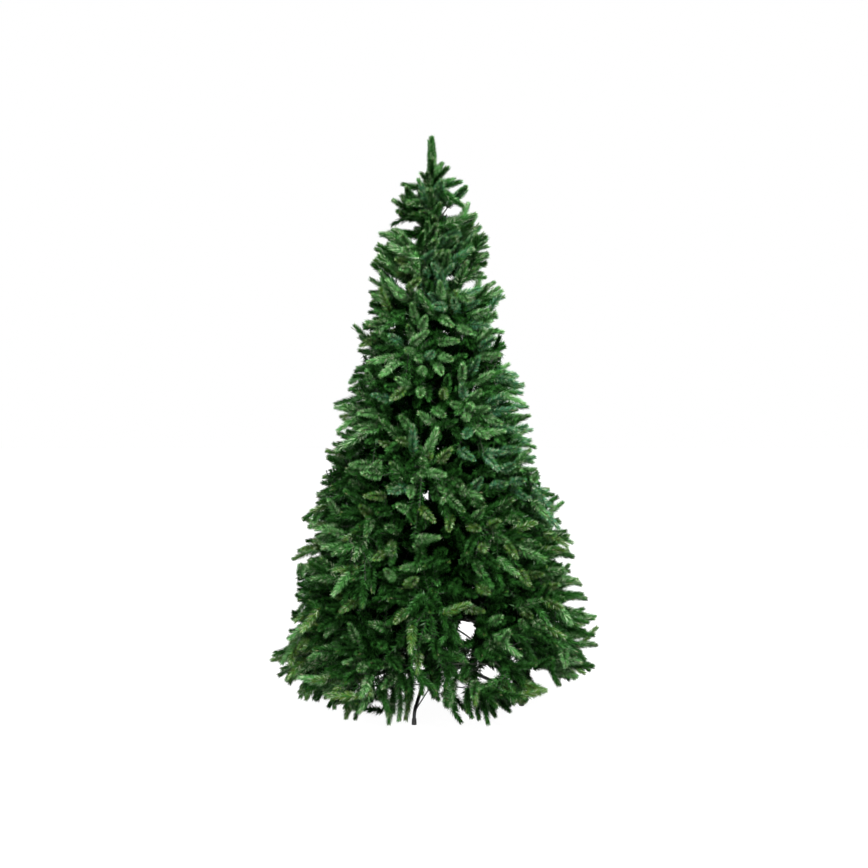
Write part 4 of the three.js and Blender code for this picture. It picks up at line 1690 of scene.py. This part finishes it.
    def deal(self, tips: Sprays) -> Array:
        """Deals each tip its green. Darker greens low down, at the crown's sides and deep inside it are
        painted shade, and lighter ones to the right above 0.75 m are painted light; greens are also fresher
        half way up.

        Args:
            tips: the tips.

        Returns:
            The number of each tip's green.
        """
        random = np.random.default_rng(77)
        middle = (tips.starts + tips.ends) / 2
        x, y, z = middle.T
        lot = random.uniform(0, 1, len(x))
        # Painted shade: greens darker below 1 m and at the front middle, and darker still at the front middle
        # below 0.7 m
        lot -= 0.12 * ramp(z, 1.0, -0.5) + 0.04 * bell(x, 0.17) * (y < 0)
        lot -= 0.3 * bell(x, 0.3) * (z < 0.7) * (y < 0)
        lot += 0.45 * hump(z, 1.5, 0.6) - 0.3 * ramp(z, 1.8, 0.2)
        # Painted shade: tips at the crown's sides take darker greens, more so above 0.8 m
        lot -= self.photo.aside(tips.ends) * np.where(z > 0.8, 0.4, 0.2)
        other = random.uniform(0, 1, len(x))
        right = np.clip(x / 0.35, -1, 1)
        # Painted light and shade: greens lighter on the right above 0.75 m, and darker on the lower right
        lot += right * np.where(z > 0.75, 0.2, -0.08)
        lot += 0.12 * (np.abs(x) < 0.25) * hump(z, 1.15, 0.4)
        # Painted shade: middle tips take dark greens, more often below 0.9 m; inner tips and needled
        # stretches along wires take the dark green, and those deep inside the crown the darkest
        in_painted_shade = tips.kinds >= Kind.INNER.value
        pick = np.full(len(x), Green.FOREST.number)
        for chosen, green in (
            (lot < 0.16, Green.DARK),
            (lot > 0.5, Green.LEAF),
            (lot > 0.84, Green.FRESH),
            ((other < 0.25 + 0.33 * right) & (z > 0.75), Green.COOL),
            ((other < 0.44) & (lot > 0.1) & (z < 0.8), Green.OLIVE),
            ((other > 0.9 + 0.1 * right) & (z > 0.8) & (z < 1.9), Green.OLIVE),
            (tips.are(Kind.MIDDLE), Green.FOREST),
            (tips.are(Kind.MIDDLE) & (other + 0.4 * (z < 0.9) > 0.5), Green.DARK),
            (in_painted_shade, Green.DARK),
            (in_painted_shade & (self.share(middle) < 0.66), Green.PAINTED_SHADE),
            (tips.are(Kind.TWIG), Green.DARK),
            (tips.are(Kind.CREST), Green.FOREST),
            (z > 2.22, Green.FOREST),
            ((z > 2.05) & (other > 0.62), Green.DARK),
        ):
            pick[chosen] = green.number
        return pick

    def bare(self, tips: Sprays) -> Array:
        """Finds needled stretches that carry no tip any more, or that reach too far out.

        Args:
            tips: the tips.

        Returns:
            One truth value for each tip.
        """
        stretch = tips.are(Kind.STRETCH)
        carried = {tuple(root) for root in tips.roots[~stretch]}
        lone = np.array([tuple(root) not in carried for root in tips.roots])
        radius = np.hypot(tips.ends[:, 0], tips.ends[:, 1]) / MM
        far = radius > self.stretch_share * self.rule.crown_radius(tips.ends[:, 2] / MM)
        return stretch & (((tips.twigs > self.stretch_off) & lone) | far)

    def skins(self, tips: Sprays, needled: Array) -> list[Sprays]:
        """Makes the needled skins of twigs, and the second set of needles on the tips of the top.

        Args:
            tips: the tips.
            needled: says which tips' twigs get a skin.

        Returns:
            The skins near the tips, those behind them, and the second set.
        """
        twig, out = tips.twigs, []
        step = (tips.roots - tips.starts) / np.maximum(twig, 1e-6)[:, None]
        for first, kind in ((0.0, Kind.TWIG), (self.skin_length, Kind.STRETCH)):
            rest = needled & (twig > first + self.skin_least)
            last = np.minimum(twig[rest], first + self.skin_length)[:, None]
            near, far = tips.starts[rest] + step[rest] * first, tips.starts[rest] + step[rest] * last
            out.append(Sprays(far, near, tips.ups[rest], far, np.full(len(near), kind.value)))
        top = tips.pick(tips.are(Kind.OUTER) & (tips.ends[:, 2] > self.crest_height))
        second = np.full(len(top.kinds), Kind.CREST.value)
        return [*out, Sprays(top.starts, top.ends, -top.ups, top.starts, second)]

    def build(self) -> None:
        """Makes the meshes of needles, wires and buds."""
        tips = Sprays.of(self.tips)
        single = np.arange(len(self.tips)) < len(self.edge_tips)
        keep = self.photo.allows(tips.starts, tips.ends)
        log.info("tips by kind: %s; %d left out", np.bincount(tips.kinds).tolist(), int((~keep).sum()))
        tips, single = tips.pick(keep), single[keep]
        bare = self.bare(tips)
        tips, single = tips.pick(~bare), single[~bare]
        needled = (tips.kinds < Kind.INNER.value) & ~single & self.clear_twigs(tips)
        tips = Sprays.join([tips, *self.skins(tips, needled)])
        self.build_needles(tips)
        self.build_wires(tips)
        self.build_buds(tips.pick(tips.are(Kind.OUTER)))

    def clear_twigs(self, tips: Sprays) -> Array:
        """Says which twigs leave the see-through gaps open."""
        return self.photo.misses_gaps(tips.roots, tips.starts, self.photo.wire_radius, np.linspace(0, 1, 15))

    def build_needles(self, tips: Sprays) -> None:
        """Makes the needles of all tips, in pieces of one green.

        Args:
            tips: the tips.
        """
        greens = self.deal(tips)
        shades: list[list[Array]] = [[] for _ in Green]
        random = np.random.default_rng(5)
        bends = random.normal(0.03, 0.075, len(greens))
        for kind, patterns in BRUSHES.items():
            variants = random.integers(0, len(patterns), len(greens))
            for variant, brush in enumerate(patterns):
                chosen = tips.are(kind) & (variants == variant)
                if chosen.any():
                    self.paint(shades, brush, tips.pick(chosen), greens[chosen], bends[chosen])
        for green, parts in zip(Green, shades):
            blades = np.concatenate(parts)
            pieces = math.ceil(len(blades) / self.piece_most)
            material = green.material()
            for n, part in enumerate(np.array_split(blades, pieces)):
                piece = Bench.array_mesh(f"needles_{green.name.lower()}_{n + 1}", part, 3)
                dress(piece, material, FOLIAGE)
            log.info("needles %s: %d in %d pieces", green.name, len(blades), pieces)

    def paint(
        self, shades: list[list[Array]], brush: Brush, tips: Sprays, greens: Array, bends: Array
    ) -> None:
        """Sets a brush of needles on many tips, and deals the needles to their greens.

        Args:
            shades: where the needles of each green are gathered.
            brush: the pattern of needles.
            tips: the tips.
            greens: the number of each tip's green.
            bends: how far each tip curves, as a share of its length.
        """
        length = lengths(tips.ends - tips.starts)
        along = (tips.ends - tips.starts) / length[:, None]
        across = units(np.cross(tips.ups, along), 1e-9)
        above = np.cross(along, across)
        corners, lots = brush.needles(self.tip_length)
        local = corners.reshape(-1, 3)
        share = local[:, 0] / self.tip_length
        x = local[None, :, 0] * (length / self.tip_length)[:, None]
        y = local[None, :, 1]
        z = local[None, :, 2] + (bends * length)[:, None] * (share * share)[None]
        placed = tips.starts[:, None] + x[..., None] * along[:, None]
        placed = placed + y[..., None] * across[:, None] + z[..., None] * above[:, None]
        placed = placed.reshape(len(length), -1, 3, 3)
        placed[..., 2] = np.maximum(placed[..., 2], self.floor_gap)
        for green in Green:
            rows = placed[greens == green.number]
            low = 0.0
            for high, shade in shades_of(green, brush.width) if len(rows) else ():
                shades[shade.number].append(rows[:, (lots >= low) & (lots < high)].reshape(-1, 3, 3))
                low = high

    def build_wires(self, tips: Sprays) -> None:
        """Makes the wires of the twigs and of the tips.

        Args:
            tips: the tips.
        """
        tape = TapedWire("twig_tape", (0.004, 0.007, 0.003), (0.014, 0.018, 0.008)).material()
        far = (tips.twigs > self.twig_least) & (tips.kinds < Kind.STRETCH.value) & self.clear_twigs(tips)
        twigs = self.rods(tips.roots[far], tips.starts[far], *self.twig_radii)
        dress(Bench.array_mesh("twig_wires", twigs, 4), tape, FOLIAGE)
        single = tips.pick(~tips.are(Kind.CREST))
        inner = single.starts + (single.ends - single.starts) * self.tip_wire
        wires = self.rods(single.starts, inner, *self.tip_radii)
        dress(Bench.array_mesh("tip_wires", wires, 4), tape, FOLIAGE)
        log.info("wires: %d of twigs, %d of tips", int(far.sum()), len(inner))

    @staticmethod
    def rods(starts: Array, ends: Array, first: float, last: float, sides: int = 5) -> Array:
        """Makes round rods as loose four-cornered faces.

        Args:
            starts: where they start.
            ends: where they end.
            first: their radius there.
            last: their radius at the end.
            sides: how many sides each has.

        Returns:
            The corners of all faces.
        """
        along = units(ends - starts)
        upright = np.abs(along[:, 2:]) > 0.9
        side = units(np.cross(along, np.where(upright, np.array([[1.0, 0, 0]]), UP[None])))
        other = np.cross(along, side)
        turns = np.arange(sides + 1) * 2 * math.pi / sides
        ring = np.cos(turns)[None, :, None] * side[:, None] + np.sin(turns)[None, :, None] * other[:, None]
        low, high = starts[:, None] + ring * first, ends[:, None] + ring * last
        return np.stack([low[:, :-1], low[:, 1:], high[:, 1:], high[:, :-1]], 2)

    def build_buds(self, tips: Sprays) -> None:
        """Makes the small brown bud at the end of each outer tip.

        Args:
            tips: the outer tips.
        """
        along = units(tips.ends - tips.starts)
        foot, middle, top = (tips.ends - along * back for back in self.bud_places)
        low, wide, high = self.bud_radii
        scales = [self.rods(foot, middle, low, wide, 4), self.rods(middle, top, wide, high, 4)]
        finish = TapedWire("bud_scales", (0.030, 0.036, 0.012), (0.075, 0.078, 0.027)).material()
        dress(Bench.array_mesh("tip_buds", np.concatenate(scales), 4), finish, FOLIAGE)
        log.info("buds: %d", len(foot))


@dataclass(frozen=True)
class BoughWire:
    """A bough's wire: two strands twisted together under tape, modelled once and laid along every bough."""

    steps: int = 84
    step_turn: float = 74.0
    flatness: float = 0.72
    root_radius: float = 0.0048
    low_root_radius: float = 0.0056
    end_radius: float = 0.0022
    look_ahead: float = 0.004

    def pattern(self) -> Piece:
        """Models one unit of twisted wire along x, of radius 1.

        Returns:
            The pattern piece.
        """
        made = Bench.disc("wire_pattern", 1.0, (0, 0, 0), (0, QUARTER_TURN, 0), 8)
        bpy.ops.transform.resize(value=(1.0, self.flatness, 1.0))
        turn = math.radians(self.step_turn)
        for step in range(self.steps):
            Bench.pull(1.0 / self.steps, 0, 0)
            middle = ((step + 1) / self.steps, 0, 0)
            bpy.ops.transform.rotate(value=turn, orient_axis="X", center_override=middle)
        Bench.close_skin()
        return made

    def lay(self, line: Array, co: Array, root: float) -> Array:
        """Lays the pattern's points along a bough.

        Args:
            line: the bough's line, in metres.
            co: the pattern's points.
            root: the wire's radius at the collar.

        Returns:
            The points in their places.
        """
        away = np.r_[0, np.cumsum(lengths(np.diff(line, axis=0)))]
        share = np.clip(co[:, 0], 0, 1)
        place = share * away[-1]
        spine, ahead, behind = (
            np.stack([np.interp(place + more, away, line[:, i]) for i in range(3)], 1)
            for more in (0.0, self.look_ahead, -self.look_ahead)
        )
        along = units(ahead - behind)
        side = units(np.cross(UP, along))
        above = np.cross(along, side)
        thick = (root + (self.end_radius - root) * share**1.2)[:, None]
        return spine + thick * (co[:, 1:2] * side + co[:, 2:3] * above)

    def build(self, crown: Crown) -> None:
        """Lays the wire along each bough.

        Args:
            crown: the crown, with its boughs grown.
        """
        pattern = self.pattern()
        finish = TapedWire("bough_tape", (0.008, 0.009, 0.006), (0.026, 0.024, 0.014)).material()
        for (tier, bough), line in crown.bough_lines.items():
            label = f"t{tier + 1}_{bough + 1}"
            piece = Bench.copy(pattern, f"bough_wire_{label}", Matrix.Identity(4))
            co = np.zeros(len(piece.data.vertices) * 3)
            piece.data.vertices.foreach_get("co", co)
            root = self.root_radius if tier else self.low_root_radius
            piece.data.vertices.foreach_set("co", self.lay(line, co.reshape(-1, 3), root).ravel())
            piece.data.update()
            dress(piece, finish, [f"foliage_{label}" if tier else f"bough_{label}"])
            Bench.smooth(piece)
        Bench.drop(pattern)
        log.info("bough wires: %d", len(crown.bough_lines))


# The pole


@dataclass(frozen=True)
class Pole:
    """The pole: three tubes that slide into one another, with a collar and brackets for each tier."""

    rule: GrowthRule
    # name, outer radius, foot and top
    tubes: tuple[tuple[str, float, float, float], ...] = (
        ("pole_lower", 0.0160, 0.0543, 0.880),
        ("pole_middle", 0.0142, 0.820, 1.700),
        ("pole_upper", 0.0124, 1.640, 2.150),
    )
    sides: int = 40
    wall: float = 0.0015
    mouth: float = 0.03
    overlap: float = 0.06
    seat: Pair = (0.0018, 0.006)  # how far the seat ring stands out, and its height
    seat_gap: float = 0.0003
    collar_height: float = 0.022
    collar_inset: float = 0.004
    bracket_size: Triple = (0.010, 0.016, 0.020)
    pin_radius: float = 0.0018

    def build(self) -> None:
        """Models the tubes and dresses them with their collars."""
        paint = PaintedSteel("pole_paint", (0.010, 0.030, 0.014), (0.030, 0.070, 0.034)).material()
        bracket = self.bracket()
        for name, radius, low, high in self.tubes:
            tube = Bench.upright(name + "_bare", radius, low, high, self.sides)
            Bench.hollow(tube, self.wall, self.mouth, 0.0004)
            parts, shown = [tube], low
            if name != self.tubes[0][0]:
                shown = low + self.overlap
                at = shown + self.seat_gap
                ring = Bench.upright("seat_ring", radius + self.seat[0], at, at + self.seat[1], self.sides)
                Bench.round_edges(ring, 0.0008)
                parts.append(ring)
            for tier in range(len(self.rule.boughs_per_tier)):
                z = float(self.rule.height(tier, self.rule.collar_radius)) * MM
                if shown <= z < high:
                    parts += self.collar(tier, z, bracket)
            piece = Bench.join(parts, f"{name}_tube")
            Bench.smooth(piece)
            dress(piece, paint, [name])
            log.info("%s: %d faces", piece.name, len(piece.data.polygons))
        Bench.drop(bracket)

    def collar(self, tier: int, z: float, bracket: Piece) -> list[Piece]:
        """Models a tier's collar with a hinge bracket and pin for each bough.

        Args:
            tier: the tier, from 0.
            z: the collar's height.
            bracket: the pattern of the brackets.

        Returns:
            The collar's parts.
        """
        half = self.collar_height / 2
        radius = self.rule.collar_radius * MM - self.collar_inset
        ring = Bench.upright("collar", radius, z - half, z + half, self.sides)
        Bench.pick(ring, looks_up_or_down)
        bpy.ops.mesh.inset(thickness=0.0026)
        Bench.round_edges(ring, 0.0007)
        Bench.pick(ring, lambda face: looks_up_or_down(face) and face.area > 0.0004)
        bpy.ops.transform.resize(value=(1, 1, 0.86), center_override=(0, 0, z))
        bpy.ops.object.mode_set(mode="OBJECT")
        parts = [ring]
        for bough in range(self.rule.boughs_per_tier[tier]):
            turn = Matrix.Rotation(self.rule.turn(tier, bough), 4, "Z")
            parts.append(Bench.copy(bracket, "bracket", turn @ Matrix.Translation((0, 0, z))))
        return parts

    def bracket(self) -> Piece:
        """Models one hinge bracket at the collar, with its pin, pointing along x.

        Returns:
            The pattern piece.
        """
        reach = self.rule.collar_radius * MM
        made = Bench.block("bracket_body", (reach - 0.003, 0, 0), self.bracket_size)
        Bench.pick(made, lambda face: face.normal.x > 0.9)
        bpy.ops.mesh.inset(thickness=0.0022)
        Bench.pull(-0.006, 0, 0)
        Bench.round_edges(made, 0.0006)
        middle = (reach - 0.0005, 0, 0)
        pin = Bench.rod("pin", self.pin_radius, self.bracket_size[2], middle, (QUARTER_TURN, 0, 0))
        Bench.round_edges(pin, 0.0004)
        return Bench.join([made, pin], "bracket_pattern")


# The stand


@dataclass(frozen=True)
class Stand:
    """The stand: a socket with two rings and a thumb screw, four bent legs with caps, and their braces."""

    turn: float = -100.6
    legs: int = 4
    socket_outer: float = 0.020
    socket_wall: float = 0.003
    socket_floor: float = 0.048
    socket_top: float = 0.318
    socket_sides: int = 48
    socket_mouth: float = 0.05
    # height of the middle, radius and height of each ring
    shoulder: Triple = (0.192, 0.030, 0.016)
    heel: Triple = (0.072, 0.027, 0.012)
    lug_sizes: Pair = (0.012, 0.008)
    lug_place: float = 0.82  # how far beside the leg a lug stands, as a share of its size
    leg_radius: float = 0.007
    foot_reach: float = 0.380
    knee_height: float = 0.047
    knee_length: float = 0.026
    foot_rise: float = 0.006
    cap: Pair = (0.010, 0.024)
    brace_radius: float = 0.0026
    brace_inset: float = 0.034
    clip: Pair = (0.0012, 0.010)  # how far the clip stands out from the leg, and its width
    screw_height: float = 0.290

    def build(self) -> None:
        """Models the stand's pieces and dresses them."""
        steel = PaintedSteel("stand_paint", (0.007, 0.008, 0.009), (0.030, 0.032, 0.034)).material()
        rubber = Rubber().material()
        socket = Bench.join([self.socket(), self.screw(), *self.lugs()], "stand_socket_tube")
        Bench.smooth(socket)
        dress(socket, steel, ["stand_socket"])
        patterns = (
            (self.leg(), "leg_tube", steel, "leg"),
            (self.foot(), "foot_cap", rubber, "leg"),
            (self.brace(), "brace_rod", steel, "brace"),
        )
        for i, place in enumerate(self.places()):
            for pattern, name, finish, node in patterns:
                piece = Bench.copy(pattern, f"stand_{name}_{i + 1}", place)
                Bench.smooth(piece)
                dress(piece, finish, [f"stand_{node}_{i + 1}"])
        Bench.drop(*(pattern for pattern, *_ in patterns))
        log.info("stand: socket, %d legs, caps and braces", self.legs)

    def places(self) -> list[Matrix]:
        """Where the legs stand round the pole."""
        step = 360 / self.legs
        return [Matrix.Rotation(math.radians(self.turn + step * i), 4, "Z") for i in range(self.legs)]

    def socket(self) -> Piece:
        """Models the socket tube with its two rings.

        Returns:
            The socket.
        """
        sides = self.socket_sides
        tube = Bench.upright("socket", self.socket_outer, self.socket_floor, self.socket_top, sides)
        Bench.hollow(tube, self.socket_wall, self.socket_mouth, 0.0006)
        rings = []
        for z, radius, height in (self.shoulder, self.heel):
            ring = Bench.upright("ring", radius, z - height / 2, z + height / 2, sides)
            Bench.pick(ring, looks_up_or_down)
            bpy.ops.mesh.inset(thickness=0.003)
            bpy.ops.mesh.inset(thickness=0.0008, depth=-0.0008)
            Bench.round_edges(ring, 0.0008)
            rings.append(ring)
        return Bench.join([tube, *rings], "socket")

    def lugs(self) -> list[Piece]:
        """Models the pairs of lugs on the rings that hold the legs and braces.

        Returns:
            The lugs.
        """
        made = []
        for (z, radius, _), size in zip((self.shoulder, self.heel), self.lug_sizes):
            aside = size * self.lug_place
            lug = Bench.block("lug", (radius + 0.004, aside, z), (0.016, 0.0022, size))
            Bench.round_edges(lug, 0.0008)
            for place in self.places():
                for shift in (0, -2 * aside):
                    made.append(Bench.copy(lug, "lug", place @ Matrix.Translation((0, shift, 0))))
            Bench.drop(lug)
        return made

    def screw(self) -> Piece:
        """Models the thumb screw that clamps the pole: a shank and a fluted knob.

        Returns:
            The screw.
        """
        lying = (0, QUARTER_TURN, 0)
        shank = Bench.rod("shank", 0.004, 0.026, (0.031, 0, self.screw_height), lying, 20)
        knob = Bench.rod("knob", 0.009, 0.010, (0.0435, 0, self.screw_height), lying, 24)
        every_third = itertools.cycle((True, False, False))
        Bench.pick(knob, lambda face: abs(face.normal.x) < 0.5 and next(every_third))
        bpy.ops.mesh.inset(thickness=0.0004, depth=-0.0012, use_individual=True)
        Bench.round_edges(knob, 0.0003, 1)
        made = Bench.join([shank, knob], "screw")
        made.data.transform(Matrix.Rotation(math.radians(self.turn + 45), 4, "Z"))
        return made

    @property
    def knee(self) -> Vector:
        """Where the lines of a leg's slope and its foot meet."""
        return Vector((self.foot_reach, 0, self.knee_height))

    def slope(self) -> Vector:
        """The direction in which a leg runs down, in the plane of x and z."""
        return (self.knee - Vector((self.shoulder[1], 0, self.shoulder[0]))).normalized()

    def leg(self) -> Piece:
        """Models a leg as a bent tube: drawn out from the shoulder, spun at the knee, drawn to the foot.

        Returns:
            The pattern piece.
        """
        down = self.slope()
        start = Vector((self.shoulder[1] - 0.006, 0, self.shoulder[0] + 0.0025))
        bend = self.knee - down * self.knee_length
        angle = math.acos(-down.z)
        inward = Vector((down.z, 0, -down.x)) * (self.knee_length / math.tan(angle / 2))
        turn = (0, QUARTER_TURN + math.asin(-down.z), 0)
        made = Bench.disc("leg_pattern", self.leg_radius, start, turn, 20)
        Bench.pull(*(bend - start))
        bpy.ops.mesh.spin(steps=9, angle=-angle, center=bend + inward, axis=(0, 1, 0))
        Bench.pull(0, 0, -(self.knee_height - self.knee_length - self.foot_rise))
        Bench.close_skin()
        return made

    def foot(self) -> Piece:
        """Models a foot cap: a rubber sleeve with a wider tread.

        Returns:
            The pattern piece.
        """
        radius, height = self.cap
        made = Bench.upright("foot_cap", radius, 0.0, height, 28)
        Bench.pick(made, looks_up)
        bpy.ops.transform.resize(value=(0.88, 0.88, 1))
        bpy.ops.mesh.inset(thickness=0.0014)
        Bench.pull(0, 0, -0.0015)
        Bench.pick(made, lambda face: face.normal.z < -0.9)
        bpy.ops.mesh.inset(thickness=0.002)
        bpy.ops.transform.translate(value=(0, 0, 0.0006))
        Bench.round_edges(made, 0.0009)
        made.data.transform(Matrix.Translation((self.foot_reach, 0, 0)))
        return made

    def brace(self) -> Piece:
        """Models a brace: a thin rod from the heel ring to under its leg, with a clip round the leg.

        Returns:
            The pattern piece.
        """
        down = self.slope()
        steep = -down.z / down.x
        x, z = self.foot_reach - self.brace_inset, self.knee_height + steep * self.brace_inset
        under = (self.leg_radius + self.brace_radius) * math.hypot(1, steep)
        start, end = Vector((self.heel[1] - 0.002, 0, self.heel[0])), Vector((x, 0, z - under))
        turn = (end - start).to_track_quat("Z", "Y").to_euler()
        rod = Bench.rod("rod", self.brace_radius, (end - start).length, (start + end) / 2, turn)
        Bench.round_edges(rod, 0.0008)
        turn = down.to_track_quat("Z", "Y").to_euler()
        clip = Bench.rod("clip", self.leg_radius + self.clip[0], self.clip[1], (x, 0, z), turn, 24)
        Bench.round_edges(clip, 0.0006)
        return Bench.join([rod, clip], "brace_pattern")


# The studio


@dataclass(frozen=True)
class Studio:
    """A plain pale floor, soft light, and the camera where the photo was taken."""

    photo: PhotoView
    # name, place, side in metres and power in watts
    lamps: tuple[tuple[str, Triple, float, float], ...] = (
        ("key_light", (2.0, -3.9, 4.9), 2.2, 1430.0),
        ("fill_light", (-3.6, -3.2, 2.9), 3.0, 280.0),
        ("top_light", (0.6, 0.5, 5.0), 3.0, 220.0),
    )
    aim: Triple = (0.0, 0.0, 1.1)
    sky: float = 1.0
    sensor: float = 36.0
    floor_size: float = 80.0
    floor_glow: float = 0.97

    def build(self) -> None:
        """Sets up floor, lights, world and camera."""
        self.floor()
        for lamp in self.lamps:
            self.lamp(*lamp)
        scene = bpy.context.scene
        scene.world = bpy.data.worlds.new("studio")
        scene.world.use_nodes = True
        background = scene.world.node_tree.nodes["Background"].inputs
        background["Color"].default_value = (1, 1, 1, 1)
        background["Strength"].default_value = self.sky
        scene.view_settings.view_transform = "Standard"
        scene.camera = self.camera()
        log.info("studio: floor, %d lights and camera", len(self.lamps))

    def camera(self) -> Piece:
        """Sets up the camera.

        Returns:
            The camera.
        """
        photo = self.photo
        data = bpy.data.cameras.new("camera")
        data.sensor_width = self.sensor
        data.lens = self.sensor * photo.focal / photo.size
        data.shift_x = (photo.size / 2 - photo.centre[0]) / photo.size
        data.shift_y = -(photo.size / 2 - photo.centre[1]) / photo.size
        camera = bpy.data.objects.new("camera", data)
        camera.location = (0, -photo.distance, photo.height)
        camera.rotation_euler = (QUARTER_TURN, 0, 0)
        bpy.context.scene.collection.objects.link(camera)
        return camera

    def floor(self) -> None:
        """Lays the pale floor."""
        Bench.clear()
        bpy.ops.mesh.primitive_plane_add(size=self.floor_size)
        floor = bpy.context.object
        floor.name = "floor"
        paper = {"Base_Color": (0.05, 0.05, 0.05, 1), "Roughness": 0.9}
        glow = {"Emission_Color": (1, 1, 1, 1), "Emission_Strength": self.floor_glow}
        floor.data.materials.append(Shader("floor_paper").finish(**paper, **glow))

    def lamp(self, name: str, place: Triple, size: float, power: float) -> None:
        """Hangs a soft light that points at the crown.

        Args:
            name: its name.
            place: where it hangs.
            size: its side in metres.
            power: its power in watts.
        """
        data = bpy.data.lights.new(name, "AREA")
        data.size, data.energy = size, power
        lamp = bpy.data.objects.new(name, data)
        lamp.location = place
        lamp.rotation_euler = (Vector(self.aim) - Vector(place)).to_track_quat("-Z", "Y").to_euler()
        bpy.context.scene.collection.objects.link(lamp)


def main() -> None:
    """Builds the tree's looks and the studio."""
    logging.basicConfig(level=logging.INFO, format="%(message)s")
    rule, photo = GrowthRule(), PhotoView()
    Stand().build()
    Pole(rule).build()
    crown = Crown(rule, photo)
    crown.grow()
    BoughWire().build(crown)
    crown.build()
    Studio(photo).build()


if __name__ == "__main__":
    main()
